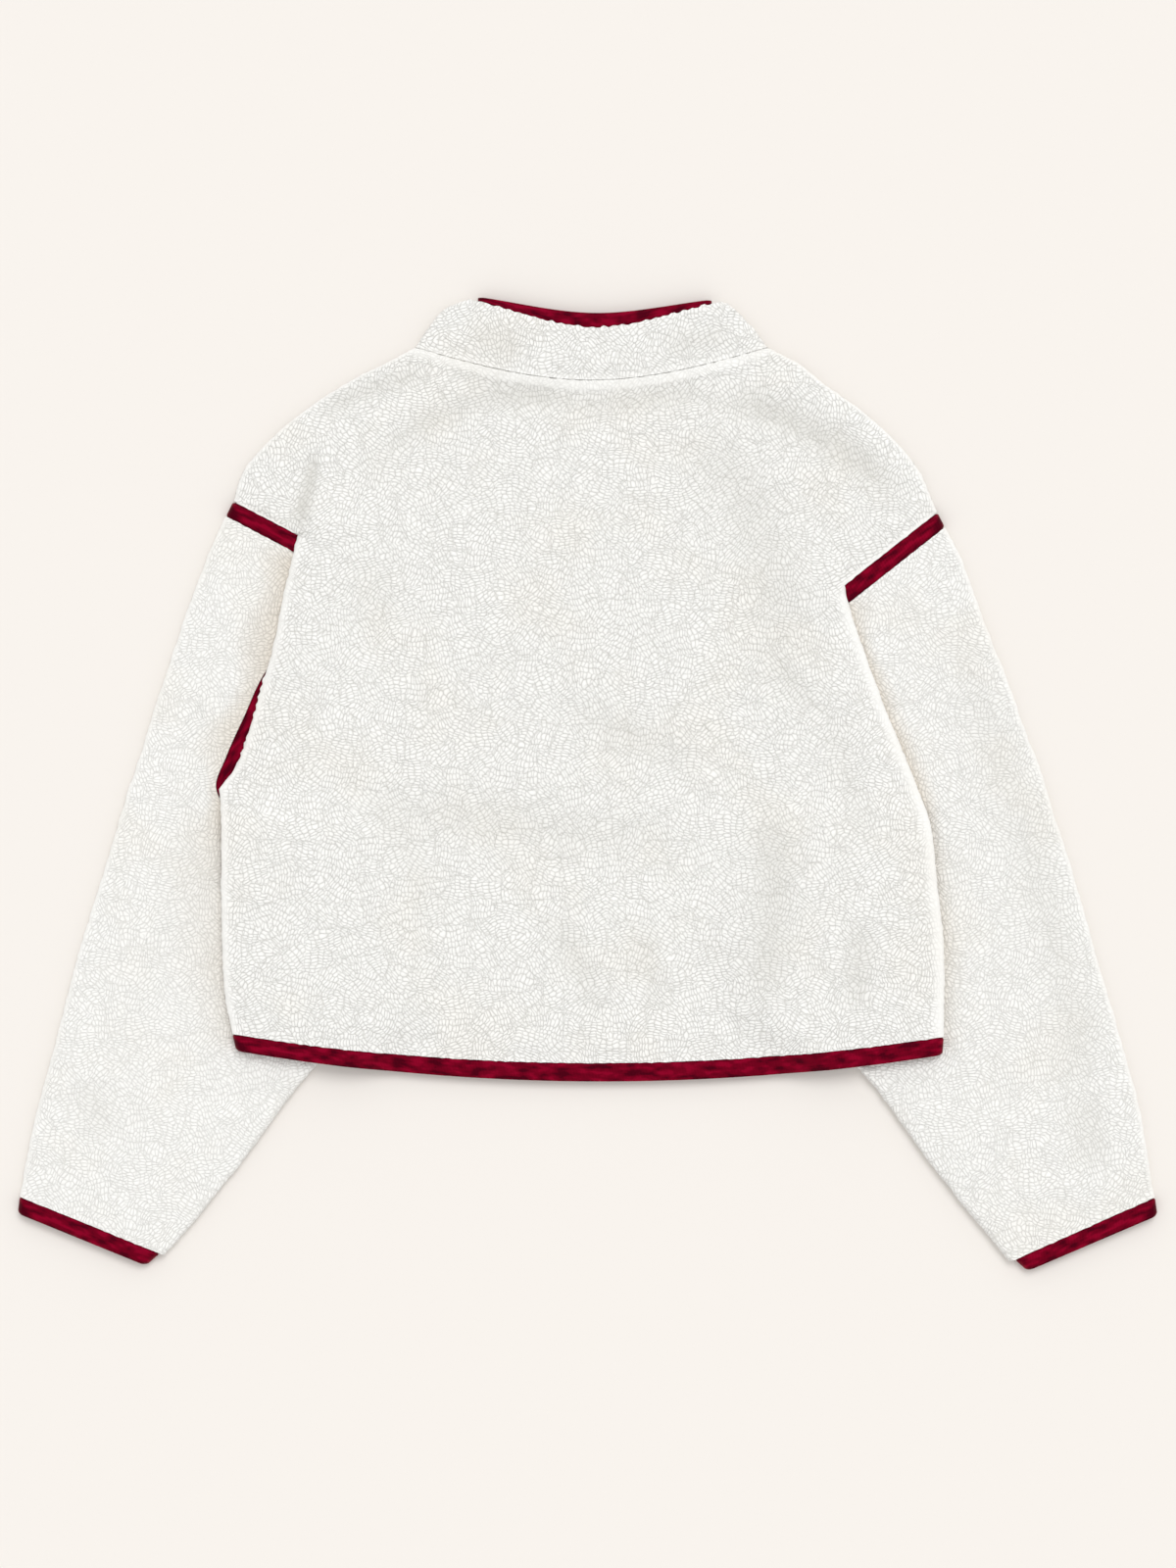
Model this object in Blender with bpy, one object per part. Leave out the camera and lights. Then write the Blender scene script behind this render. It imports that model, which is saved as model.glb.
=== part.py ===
"""Sherpa fleece pullover, laid flat with its back up.

The garment is cropped, with drop shoulders, long sleeves and a stand collar, and a flat tape binds
its collar, armholes, cuffs and hem. X runs across it, Y up towards the collar and Z up from the
surface that it lies on. Tables and sizes are in millimetres, and the meshes in metres.

Laid out, every piece is two layers deep: a lower layer on the floor and an upper layer on it. Each
sleeve is folded down at the shoulder, so that the side of the body lies on the sleeve. A piece is a
loft: its sections are worked out row by row, each with an outer and an inner face a wall apart.
Both faces are made, not thickened afterwards, because a fold here is as tight as the wall is thick.
"""

import bmesh
import bpy
import numpy as np

MM = 0.001

# Cloth
WALL = 4.0                 # fleece, knit ground and pile together
AIR = 1.0                  # between two layers that lie on each other
PLY = 2 * WALL + AIR       # two layers, as in a sleeve pressed flat
SEAM = 0.3                 # between pieces that are sewn together
TAPE = 11.5                # width of the binding over an armhole seam
TAPE_WALL = 3.2
TAPE_PLY = 8.2             # two layers of binding, a little under the pile
TAPE_ROUND = 0.4           # how far the binding's long edges are pressed down
TAPE_ROWS = ((0.0, TAPE_ROUND), (0.5, 0.0), (1.0, TAPE_ROUND))   # place across it, how far pressed down
ARC_STEPS = 3              # faces round a quarter of a fold
CURVE_STEPS = 12           # points on a curve between two of its table's, where its length is measured
MERGE = 0.01               # points nearer than this are one

RIM = (PLY - SEAM) / 2     # radius of a seam edge, where an upper and a lower layer meet
FOLD = PLY / 2             # radius of a folded sleeve or collar edge

# The body lies on the sleeves, and its back rolls over the armhole seam in a soft lip
ON_SLEEVE = PLY + SEAM     # height of the body's underside over a sleeve
LIP = 5.3                  # how much higher the back is where it only covers the seam
LIP_ROUND = 5.0            # radius of that lip
SETTLE = 50.0              # the run over which the body comes down off a sleeve
LIP_IN, LIP_OUT = 16.0, 8.0    # above the seam's corner the lip steps down across it, from in to out
TUBE_TOP, TUBE_FULL = 0.0, -41.0   # Y where the body starts to climb onto a sleeve, and is on it

# The body's back
NECK_DIP = 24.0            # how far a row's middle hangs below its ends, at the neck
HEM_DIP = 21.0             # and at the hem
NECK_SWOOP = 0.45          # how much the neck's dip is drawn out flat at its middle and ends
SWOOP_RUN = 0.3            # and the share of the body's length over which that dies out
CROWN = 1.6                # how much the cloth stands off its layer below, away from edges
SLEEVE_CROWN = 1.2
COLLAR_CROWN = 1.0
CROWN_RUN = 22.0           # and the run from an edge over which it rises
WELT = 1.0                 # height of the turned seam under the collar
WELT_NEAR, WELT_FAR = 1.0, 8.0     # its two edges, from the collar seam
BODY_COLUMNS = 30
BACK_SHOULDER = (0.0, 0.024, 0.06, 0.11, 0.25, 0.4, 0.55, 0.7, 0.85, 1.0)
FRONT_SHOULDER = (0.0, 0.25, 0.5, 0.75, 0.975)
ARMHOLE_ROWS, FOLD_ROWS, SIDE_ROWS = 3, 6, 6

# Points down each edge of the body, from the collar: X, Y
EDGES = {
    "left": {
        "shoulder": [(-127, 321), (-150, 309), (-174, 297), (-208, 275), (-233, 254), (-253, 231),
                     (-261, 208)],
        "armhole": [(-261, 208), (-213, 183)],
        "fold": [(-213, 183), (-222, 146), (-232, 101), (-243, 62), (-251, 35), (-259, 14), (-271, -4)],
        "side": [(-271, -4), (-269, -36), (-269, -93), (-267, -148), (-261, -183)],
    },
    "right": {
        "shoulder": [(132, 321), (153, 310), (171, 296), (202, 274), (226, 252), (243, 231), (257, 200)],
        "armhole": [(257, 200), (188, 146)],
        "fold": [(188, 146), (194, 123), (203, 98), (218, 56), (231, 25), (244, -8)],
        "side": [(244, -8), (252, -33), (256, -70), (261, -122), (261, -185)],
    },
}

# How far in from each edge the body still lies on the sleeve: Y, X
REACH = {
    "left": [(238, -194), (182, -189), (72, -191), (-4, -184), (-41, -160), (-72, -142), (-115, -136),
             (-165, -149), (-206, -182), (-223, -196)],
    "right": [(191, 169), (146, 164), (72, 160), (-8, 155), (-41, 142), (-72, 130), (-115, 122),
              (-165, 138), (-209, 184), (-223, 196)],
}
# Y where the lip starts above the armhole seam, and where it is full
LIP_FADE = {"left": (234.0, 184.0), "right": (191.0, 147.0)}

# Each sleeve from the shoulder tip to the underarm: the folded outer edge, the armhole seam's middle
# on the back, and the same on the front
ARMHOLE_COLUMNS = ("outer_x", "outer_y", "back_x", "back_y", "front_x", "front_y")
ARMHOLE = {
    "left": [
        (-266, 198, -216, 178, -239, 173),
        (-278, 173, -202, 164, -214, 140),
        (-286, 151, -200, 142, -199, 110),
        (-296, 125, -207, 112, -187, 80),
        (-308, 89, -232.5, 78, -179, 49),
        (-318, 59, -247, 47, -175, 21),
        (-325, 36, -260, 18, -174, -5),
        (-330, 20, -267, -3, -174, -27),
        (-333, 10, -252, -21, -175, -42),
        (-336, 3, -217, -40, -176, -52),
        (-338, -3, -179, -61, -179, -61),
    ],
    "right": [
        (262, 190, 192, 141, 236, 172),
        (273, 169, 179, 129, 213, 144),
        (280, 151, 176, 108, 197, 116),
        (290, 124, 175, 83, 185, 83),
        (304, 88, 175, 58, 179, 52),
        (314, 61, 175, 35, 176, 26),
        (323, 36, 175, 12, 175, 4),
        (330, 18, 175, -10, 174, -15),
        (335, 5, 174, -31, 174, -34),
        (337, -3, 173, -47, 173, -50),
        (339, -10, 171, -61, 171, -61),
    ],
}
# Direction across the armhole binding at its underarm fold, from the sleeve towards the body
UNDERARM_ACROSS = {"left": (0.87, 0.50), "right": (-0.87, 0.50)}
UNDERARM_CLEAR = 6.0       # extra room between the two folds there
CORNER_SHARES = (0.3, 0.65)    # more rows of the binding between the shoulder tip and the seam's corner

# Each sleeve from the underarm to the cuff: its two folded edges
SLEEVE_COLUMNS = ("outer_x", "outer_y", "inner_x", "inner_y")
SLEEVE = {
    "left": [
        (-338, -3, -179, -61),
        (-356, -64, -154, -123),
        (-375, -125, -173, -174),
        (-393, -194, -216, -226),
        (-408, -251, -260, -285),
        (-418, -303, -311, -346.5),
    ],
    "right": [
        (339, -10, 171, -61),
        (356, -63, 141, -111),
        (374, -126, 158, -165),
        (390, -181, 209, -221),
        (405, -237, 256, -285),
        (417, -303.5, 310, -351),
    ],
}
SLEEVE_STEPS = 2           # rows for each line of that table
UPPER_COLUMNS, LOWER_COLUMNS = 8, 5
BODY_CLEAR = 32.0          # a sleeve stays flat this near the body that lies on it
CUFF_INSET = 4.0           # the binding ends short of the sleeve's inner fold
CUFF_END = {"left": ((-419.5, -315.5), (-325, -354)), "right": ((419, -317), (323, -358))}

# The front's upper corner on each side, where it starts from the armhole and climbs the sleeve: X, Y
FRONT_CORNER = {
    "left": [(-200, -66), (-235, -72), (-270, -77)],
    "right": [(195, -66), (226, -72), (257, -77)],
}

# Collar rows from the neck seam to the top edge
COLLAR_COLUMNS = ("left_x", "left_y", "right_x", "right_y", "dip", "swoop")
COLLAR = [
    (-127, 321, 132, 321, 24.0, 0.45),
    (-117, 336, 122, 334, 23.5, 0.60),
    (-106, 349, 110, 347, 22.0, 0.85),
    (-95, 354, 103, 353, 20.4, 1.10),
    (-88, 356, 98, 354, 19.0, 1.30),
]
COLLAR_COLUMNS_ACROSS = 20
COLLAR_TAPE = (-81, 358, 91, 356, 10.8, 1.0)        # the binding's top edge, by the same columns
HEM_TAPE = (-258, -195, 260, -198, 21.6)       # the binding's lower edge

# Soft troughs in the cloth: from X, Y to X, Y, how far the middle bows aside, depth and half-width
CREASE_COLUMNS = ("x0", "y0", "x1", "y1", "bow", "depth", "width")
CREASE_FADE = 0.3          # share of its length over which each end fades out
BODY_CREASES = [
    (-173, 221, 19, 275, 33, -1.1, 13),
    (-184, 270, -118, 298, 0, -0.9, 8),
    (97, 287, 212, 221, 9, -1.8, 12),
    (119, 221, 168, 67, 12, -1.2, 14),
    (-156, -22, 64, -38, 0, -0.8, 14),
    (48, 39, 108, 17, 0, -0.7, 10),
    (135, -11, 135, -176, 0, -1.5, 12),
    (202, -110, 194, -165, 0, -1.0, 10),
    (-19, -110, 4, -176, 0, -0.6, 10),
]
SLEEVE_CREASES = [
    (246, 160, 361, -275, -12, -1.2, 13),
    (-262, 130, -352, -240, 8, -0.8, 13),
]

FLEECE_COLOUR = (0.86, 0.84, 0.79, 1.0)
TAPE_COLOUR = (0.16, 0.003, 0.014, 1.0)


# ---------------------------------------------------------------- small helpers

def smooth(value):
    """0 below 0, 1 above 1, and an even S between them."""
    value = np.clip(value, 0.0, 1.0)
    return value * value * (3.0 - 2.0 * value)


def unit(vector):
    return np.asarray(vector, float) / np.linalg.norm(vector)


def pick(table, names, *wanted):
    """The columns of a table that have these names."""
    return np.array(table, float)[:, [names.index(name) for name in wanted]]


def spline(points, steps):
    """A smooth curve through the points, in this many steps from each to the next."""
    p = np.asarray(points, float)
    p = np.vstack([2 * p[0] - p[1], p, 2 * p[-1] - p[-2]])
    out = []
    for a, b, c, d in zip(p, p[1:], p[2:], p[3:]):
        for t in np.arange(steps) / steps:
            out.append(b + 0.5 * t * (c - a + t * (2 * a - 5 * b + 4 * c - d + t * (3 * b - 3 * c + d - a))))
    out.append(p[-2])
    return np.array(out)


def spread(points, fractions):
    """Places at these fractions of the length of a smooth curve through the points."""
    fine = spline(points, CURVE_STEPS)
    run = np.concatenate([[0.0], np.cumsum(np.linalg.norm(np.diff(fine, axis=0), axis=1))])
    return np.stack([np.interp(np.asarray(fractions) * run[-1], run, axis) for axis in fine.T], axis=1)


def crease_depth(x, y, creases):
    """How deep the soft troughs are at a place, all of them together."""
    total = np.zeros_like(x)
    for row in creases:
        c = dict(zip(CREASE_COLUMNS, row))
        run_x, run_y = c["x1"] - c["x0"], c["y1"] - c["y0"]
        length = np.hypot(run_x, run_y)
        along = ((x - c["x0"]) * run_x + (y - c["y0"]) * run_y) / length ** 2
        aside = ((y - c["y0"]) * run_x - (x - c["x0"]) * run_y) / length
        aside = aside - c["bow"] * 4.0 * along * (1.0 - along)
        ends = smooth(along / CREASE_FADE) * smooth((1.0 - along) / CREASE_FADE)
        total += c["depth"] * ends * np.exp(-(aside / c["width"]) ** 2)
    return total


# ---------------------------------------------------------------- how high the body lies

def sleeve_under(x, y, side):
    """1 where the body lies over a sleeve, and 0 past where it has come down to the floor."""
    table = np.array(REACH[side][::-1], float)
    reach = np.interp(y, table[:, 0], table[:, 1])
    inward = x - reach if side == "left" else reach - x
    return 1.0 - smooth(inward / SETTLE)


def on_sleeve(y):
    """0 above the underarm, 1 where both layers of the body are on the sleeve."""
    return smooth((TUBE_TOP - y) / (TUBE_TOP - TUBE_FULL))


def front_lift(x, y):
    """Height of the front's underside."""
    return ON_SLEEVE * on_sleeve(y) * (sleeve_under(x, y, "left") + sleeve_under(x, y, "right"))


def front_base(x, y, run):
    """The same, as layer() wants it."""
    return front_lift(x, y)


def back_lift(x, y):
    """How much higher the back lies than on the floor alone."""
    total = np.zeros_like(x)
    for side, outward in (("left", -1.0), ("right", 1.0)):
        start, full = LIP_FADE[side]
        lip = LIP * smooth((start - y) / (start - full))
        corner_x, corner_y = EDGES[side]["fold"][0]
        step = 1.0 - smooth(((x - corner_x) * outward + LIP_IN) / (LIP_IN + LIP_OUT))
        step = np.where(y > corner_y + SEAM, step, 1.0)
        height = lip + (ON_SLEEVE - LIP) * on_sleeve(y)
        total += height * step * sleeve_under(x, y, side)
    return total


# ---------------------------------------------------------------- sections

def turned_edge(turn, radius, wall):
    """Steps from an edge inward, as (in, down) of the outer face and of the inner face.

    A turn of 1 rolls the cloth through a quarter of a circle, and a turn of 0 leaves it flat and
    cut square.
    """
    angle = np.linspace(np.pi / 2, 0.0, ARC_STEPS + 1)
    flat = radius * np.linspace(0.0, 1.0, ARC_STEPS + 1)
    inside = radius - wall
    outer_in = (1 - turn) * flat + turn * radius * (1 - np.sin(angle))
    outer_down = turn * radius * (1 - np.cos(angle))
    inner_in = (1 - turn) * flat + turn * (radius - inside * np.sin(angle))
    inner_down = (1 - turn) * wall + turn * (radius - inside * np.cos(angle))
    return (outer_in, outer_down), (inner_in, inner_down)


def end_ways(path):
    """The directions from each end of a path inward."""
    return unit(path[1] - path[0]), unit(path[-2] - path[-1])


def layer(path, ends, wall, height, up=1, fold_ways=None):
    """The outer and inner points of one layer of cloth over a path in plan.

    height(x, y, run) is the outer face, with run the distance from the nearer end. up is 1 for a
    layer that looks up and -1 for one that looks down. ends holds (turn, radius) at each end, and
    fold_ways the directions in which the inner face's end points lie, where layers share them.
    """
    ways = end_ways(path)
    fold_ways = fold_ways or ways
    lengths = np.linalg.norm(np.diff(path, axis=0), axis=1)
    from_start = np.cumsum(lengths)[:-1]
    middle_run = np.minimum(from_start, lengths.sum() - from_start)
    faces = []
    for start, stop, sunk in zip(turned_edge(*ends[0], wall), turned_edge(*ends[1], wall), (0.0, wall)):
        plan = np.vstack([path[0] + start[0][:, None] * ways[0], path[1:-1],
                          path[-1] + stop[0][::-1, None] * ways[1]])
        plan[0] = path[0] + start[0][0] * fold_ways[0]
        plan[-1] = path[-1] + stop[0][0] * fold_ways[1]
        down = np.concatenate([start[1], np.full(len(path) - 2, sunk), stop[1][::-1]])
        run = np.concatenate([start[0] - start[0][0], middle_run, stop[0][::-1] - stop[0][0]])
        top = height(plan[:, 0], plan[:, 1], run)
        faces.append(np.column_stack([plan, top - up * down]))
    return faces


def level(height):
    """A height that is the same all over, as layer() wants it."""
    return lambda x, y, run: np.full_like(x, height)


def tube(upper_path, lower_path, ends, ply, wall, upper_height, lower_height):
    """Sections of a flattened ring: the upper layer out and the lower layer back.

    ends holds (turn, radius) at the upper path's start, which is the lower path's stop, and at
    its far end.
    """
    upper_ways, lower_ways = end_ways(upper_path), end_ways(lower_path)
    near, far = unit(upper_ways[0] + lower_ways[1]), unit(upper_ways[1] + lower_ways[0])
    if ends[0][0] < 1.0:
        near = None
    upper_fold = (upper_ways[0] if near is None else near, far)
    lower_fold = (far, lower_ways[1] if near is None else near)
    upper = layer(upper_path, ends, wall, lambda x, y, run: ply + upper_height(x, y, run),
                  fold_ways=upper_fold)
    lower = layer(lower_path, ends[::-1], wall, lower_height, up=-1, fold_ways=lower_fold)
    return [np.vstack([a, b[1:]]) for a, b in zip(upper, lower)]


# ---------------------------------------------------------------- making solids

def make_solid(name, sections, material, collection):
    """A closed solid from sections of (outer, inner) points, the same number in each.

    Faces run from section to section over the outer and the inner face, across the first and
    the last section, and along the two long edges. Where a section's ends meet, as round a
    tube, its doubles are merged and no face closes it there.
    """
    outer = np.array([s[0] for s in sections]) * MM
    inner = np.array([s[1] for s in sections]) * MM
    rows, columns = outer.shape[:2]
    out_at = np.arange(rows * columns).reshape(rows, columns)
    in_at = out_at + rows * columns
    meets = np.linalg.norm(outer[:, 0] - outer[:, -1], axis=1) < MERGE * MM

    def strip(a, b):
        return [(a[k], a[k + 1], b[k + 1], b[k]) for k in range(len(a) - 1)]

    faces = strip(in_at[0], out_at[0]) + strip(out_at[-1], in_at[-1])
    for r in range(rows - 1):
        faces += strip(out_at[r], out_at[r + 1]) + strip(in_at[r + 1], in_at[r])
        if not (meets[r] and meets[r + 1]):
            faces += strip(out_at[r:r + 2, -1], in_at[r:r + 2, -1])
            faces += strip(in_at[r:r + 2, 0], out_at[r:r + 2, 0])

    mesh = bpy.data.meshes.new(name)
    mesh.from_pydata(np.concatenate([outer.reshape(-1, 3), inner.reshape(-1, 3)]).tolist(), [],
                     [tuple(map(int, face)) for face in faces])
    work = bmesh.new()
    work.from_mesh(mesh)
    bmesh.ops.remove_doubles(work, verts=work.verts, dist=MERGE * MM)
    bmesh.ops.recalc_face_normals(work, faces=work.faces)
    work.to_mesh(mesh)
    work.free()
    mesh.shade_smooth()
    mesh.set_sharp_from_angle(angle=np.radians(50))
    mesh.materials.append(material)
    piece = bpy.data.objects.new(name, mesh)
    collection.objects.link(piece)
    return piece


def make_material(name, colour, roughness):
    material = bpy.data.materials.new(name)
    material.use_nodes = True
    shader = material.node_tree.nodes["Principled BSDF"]
    shader.inputs["Base Color"].default_value = colour
    shader.inputs["Roughness"].default_value = roughness
    material.diffuse_color = colour
    return material


# ---------------------------------------------------------------- body

def hang(across, swoop):
    """How much of its dip a row has at each place across; a swoop flattens its middle and its ends."""
    from_middle = np.abs(2.0 * across - 1.0)
    square = from_middle ** 2
    return 1.0 - square - swoop * (smooth(from_middle) - square) / 2.0


def row_path(left, right, dip, columns, inset=(0.0, 0.0), swoop=0.0):
    """A path in plan from one edge to the other, hanging in the middle, with even columns."""
    middle = np.linspace(left[0] + inset[0], right[0] - inset[1], columns + 1)[1:-1]
    x = np.concatenate([[left[0]], middle, [right[0]]])
    across = (x - left[0]) / (right[0] - left[0])
    y = left[1] + (right[1] - left[1]) * across - dip * hang(across, swoop)
    return np.column_stack([x, y])


def side_places(side):
    """Where the rows below the underarm end, the same on the back and the front."""
    return spread(EDGES[side]["side"], np.linspace(0, 1, SIDE_ROWS + 1))[1:]


def back_edge(side):
    """Points down one edge of the back, with the turn and radius of the cloth's edge at each."""
    edge = EDGES[side]
    shoulder = [(*p, 1.0, RIM) for p in spread(edge["shoulder"], BACK_SHOULDER)]
    seam = np.linspace(*np.array(edge["armhole"], float), ARMHOLE_ROWS + 1)[1:-1]
    armhole = [(*p, 0.0, RIM) for p in seam]
    fold = [(*p, 1.0, LIP_ROUND) for p in spread(edge["fold"], np.linspace(0, 1, FOLD_ROWS + 1))]
    below = [(*p, 1.0, LIP_ROUND + (RIM - LIP_ROUND) * on_sleeve(p[1])) for p in side_places(side)]
    return np.array(shoulder + armhole + fold + below)


def row_dips(left, right):
    """How far each row's middle hangs, from the neck's to the hem's, and its swoop."""
    height = (left[:, 1] + right[:, 1]) / 2
    share = (height[0] - height) / (height[0] - height[-1])
    swoop = NECK_SWOOP * (1.0 - smooth(share / SWOOP_RUN))
    return np.column_stack([NECK_DIP + (HEM_DIP - NECK_DIP) * share, swoop])


def make_back(material, collection):
    left, right = back_edge("left"), back_edge("right")
    dips = row_dips(left, right)
    sections = []
    for a, b, (dip, swoop) in zip(left, right, dips):
        below_neck = (left[0, 1] + right[0, 1] - a[1] - b[1]) / 2 - dip + NECK_DIP
        above_hem = (a[1] + b[1] - left[-1, 1] - right[-1, 1]) / 2
        row_rise = smooth(below_neck / CROWN_RUN) * smooth(above_hem / CROWN_RUN)
        welt = WELT if WELT_NEAR < below_neck < WELT_FAR else 0.0

        def height(x, y, run):
            rise = row_rise * smooth(run / CROWN_RUN)
            loft = (CROWN + crease_depth(x, y, BODY_CREASES)) * rise
            return PLY + back_lift(x, y) + loft + welt * smooth(run / CROWN_RUN)

        path = row_path(a, b, dip, BODY_COLUMNS, (a[3], b[3]), swoop)
        sections.append(layer(path, (a[2:], b[2:]), WALL, height))
    return make_solid("back_panel", sections, material, collection)


def front_edge(side):
    """Points down one edge of the front, with the turn and radius of the cloth's edge at each."""
    edge = EDGES[side]
    shoulder = [(*p, 1.0, RIM) for p in spread(edge["shoulder"], FRONT_SHOULDER)]
    armhole = [(*p, 0.0, RIM) for p in armhole_rails(side)["front_body"][1:]]
    corner = [(*p, 0.0, RIM) for p in FRONT_CORNER[side][:-1]]
    below = [p for p in side_places(side) if p[1] < FRONT_CORNER[side][-1][1]]
    side_rows = [(*p, 1.0, RIM) for p in [FRONT_CORNER[side][-1], *below]]
    return np.array(shoulder + armhole + corner + side_rows)


def make_front(material, collection):
    left, right = front_edge("left"), front_edge("right")
    sections = []
    for a, b, (dip, swoop) in zip(left, right, row_dips(left, right)):
        path = row_path(a, b, dip, BODY_COLUMNS, (a[3], b[3]), swoop)
        sections.append(layer(path, (a[2:], b[2:]), WALL, front_base, up=-1))
    return make_solid("front_panel", sections, material, collection)


# ---------------------------------------------------------------- armholes and sleeves

def armhole_rails(side):
    """The armhole seam in plan: rails along its back and its front, each beside the body, at
    both edges of the binding, and beside the sleeve.

    Each rail starts at the shoulder tip and ends at the underarm.
    """
    turn = 1.0 if side == "left" else -1.0
    tip, corner = np.array(EDGES[side]["armhole"], float)
    tip_sleeve = pick(ARMHOLE[side], ARMHOLE_COLUMNS, "outer_x", "outer_y")[0]
    under = unit(UNDERARM_ACROSS[side])
    straight = unit(corner - tip)
    across_corner = np.array([-straight[1], straight[0]]) * turn
    rails = {}
    for name in ("back", "front"):
        middle = pick(ARMHOLE[side], ARMHOLE_COLUMNS, name + "_x", name + "_y")
        if name == "back":
            middle[0] = corner - across_corner * (SEAM + TAPE / 2)
        line = np.vstack([(tip + tip_sleeve) / 2, middle])
        way = np.gradient(line, axis=0)
        across = np.column_stack([-way[:, 1], way[:, 0]]) * turn
        across /= np.linalg.norm(across, axis=1)[:, None]
        across[0] = unit(tip - tip_sleeve)
        across[-1] = under
        if name == "back":
            across[1] = across_corner
        for rail, shift in (("body", TAPE / 2 + SEAM), ("tape_body", TAPE / 2),
                            ("tape_sleeve", -TAPE / 2), ("sleeve", -TAPE / 2 - SEAM)):
            rails[f"{name}_{rail}"] = line + across * shift
            if rail in ("body", "tape_body"):
                rails[f"{name}_{rail}"][0] = tip - across[0] * (TAPE / 2 + SEAM - shift)
            else:
                rails[f"{name}_{rail}"][0] = tip_sleeve + across[0] * (shift + TAPE / 2)
        rails[f"{name}_sleeve"][-1] -= under * UNDERARM_CLEAR
    return rails


def sleeve_loft(side):
    """How much a sleeve's upper layer stands off its lower one, clear of the body that lies on it."""
    edge = np.vstack([spline(EDGES[side][part], 4) for part in ("armhole", "fold", "side")])
    hem = HEM_TAPE[1]

    def height(x, y, run):
        edge_x = np.interp(y, edge[::-1, 1], edge[::-1, 0])
        clear = edge_x - x if side == "left" else x - edge_x
        beside = smooth((clear - BODY_CLEAR) / CROWN_RUN)
        below = smooth((hem - BODY_CLEAR - y) / CROWN_RUN)
        loft = SLEEVE_CROWN + crease_depth(x, y, SLEEVE_CREASES)
        return loft * smooth(run / CROWN_RUN) * np.maximum(beside, below)

    return height


def straight_path(start, stop, columns, inset):
    """An even path in plan between two points, its first and last columns clear of the edges."""
    way = unit(stop - start)
    inside = np.linspace(start + way * inset, stop - way * inset, columns + 1)[1:-1]
    return np.vstack([start, inside, stop])


def make_sleeve(side, material, collection):
    rails = armhole_rails(side)
    outer_edge = pick(ARMHOLE[side], ARMHOLE_COLUMNS, "outer_x", "outer_y")
    outer_edge[0] = rails["back_sleeve"][0]
    back_rail, front_rail = rails["back_sleeve"][1:], rails["front_sleeve"][1:]
    rows = [(o, b, f, 0.0) for o, b, f in zip(outer_edge[:-1], back_rail[:-1], front_rail[:-1])]
    outer = pick(SLEEVE[side], SLEEVE_COLUMNS, "outer_x", "outer_y")
    inner = pick(SLEEVE[side], SLEEVE_COLUMNS, "inner_x", "inner_y")
    inner[0] = back_rail[-1]
    rows += [(o, i, i, 1.0) for o, i in zip(spline(outer, SLEEVE_STEPS), spline(inner, SLEEVE_STEPS))]
    loft = sleeve_loft(side)
    sections = []
    for number, (outer, back, front, turn) in enumerate(rows):
        share = smooth(number / 2.0) * smooth((len(rows) - 1 - number) / 2.0)
        upper = straight_path(back, outer, UPPER_COLUMNS, FOLD)
        lower = straight_path(outer, front, LOWER_COLUMNS, FOLD)
        ends = ((turn, FOLD), (1.0, FOLD))
        sections.append(tube(upper, lower, ends, PLY, WALL,
                             lambda x, y, run: share * loft(x, y, run), level(0.0)))
    return make_solid(f"sleeve_{side}", sections, material, collection)


def make_tape(name, rows, material, collection):
    """A flat binding round a flattened opening, from rows of (upper path, lower path, floor)."""
    sections = []
    for (upper, lower, base), (_, press) in zip(rows, TAPE_ROWS):
        radius = (TAPE_PLY - press) / 2
        ends = ((1.0, radius), (1.0, radius))
        sections.append(tube(upper, lower, ends, TAPE_PLY - press, TAPE_WALL, base, base))
    return make_solid(name, sections, material, collection)


def make_armhole_binding(side, material, collection):
    rails = armhole_rails(side)
    rows = []
    for share, _ in TAPE_ROWS:
        back, front = ((1 - share) * rails[half + "_tape_body"] + share * rails[half + "_tape_sleeve"]
                       for half in ("back", "front"))
        more = [(1 - place) * back[0] + place * back[1] for place in CORNER_SHARES]
        rows.append((np.vstack([back[0], *more, back[1:]]), front[::-1], level(0.0)))
    return make_tape(f"armhole_binding_{side}", rows, material, collection)


def make_cuff_binding(side, material, collection):
    outer = pick(SLEEVE[side], SLEEVE_COLUMNS, "outer_x", "outer_y")[-1]
    inner = pick(SLEEVE[side], SLEEVE_COLUMNS, "inner_x", "inner_y")[-1]
    way = unit(inner - outer)
    down = np.array([way[1], -way[0]])
    if down[1] > 0:
        down = -down
    near = np.array([outer + down * SEAM, inner - way * CUFF_INSET + down * SEAM])
    far = np.array(CUFF_END[side], float)
    rows = []
    for share, _ in TAPE_ROWS:
        start, stop = (1 - share) * near + share * far
        upper = straight_path(start, stop, UPPER_COLUMNS, FOLD)
        lower = straight_path(stop, start, LOWER_COLUMNS, FOLD)
        rows.append((upper, lower, level(0.0)))
    return make_tape(f"cuff_binding_{side}", rows, material, collection)


# ---------------------------------------------------------------- hem and collar

def make_hem_binding(material, collection):
    left, right = EDGES["left"]["side"][-1], EDGES["right"]["side"][-1]
    near = np.array([left[0], left[1] - SEAM, right[0], right[1] - SEAM, HEM_DIP])
    far = np.array(HEM_TAPE)
    rows = []
    for share, _ in TAPE_ROWS:
        row = (1 - share) * near + share * far
        path = row_path(row[:2], row[2:4], row[4], BODY_COLUMNS, (RIM, RIM))
        rows.append((path, path[::-1], front_base))
    return make_tape("hem_binding", rows, material, collection)


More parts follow.
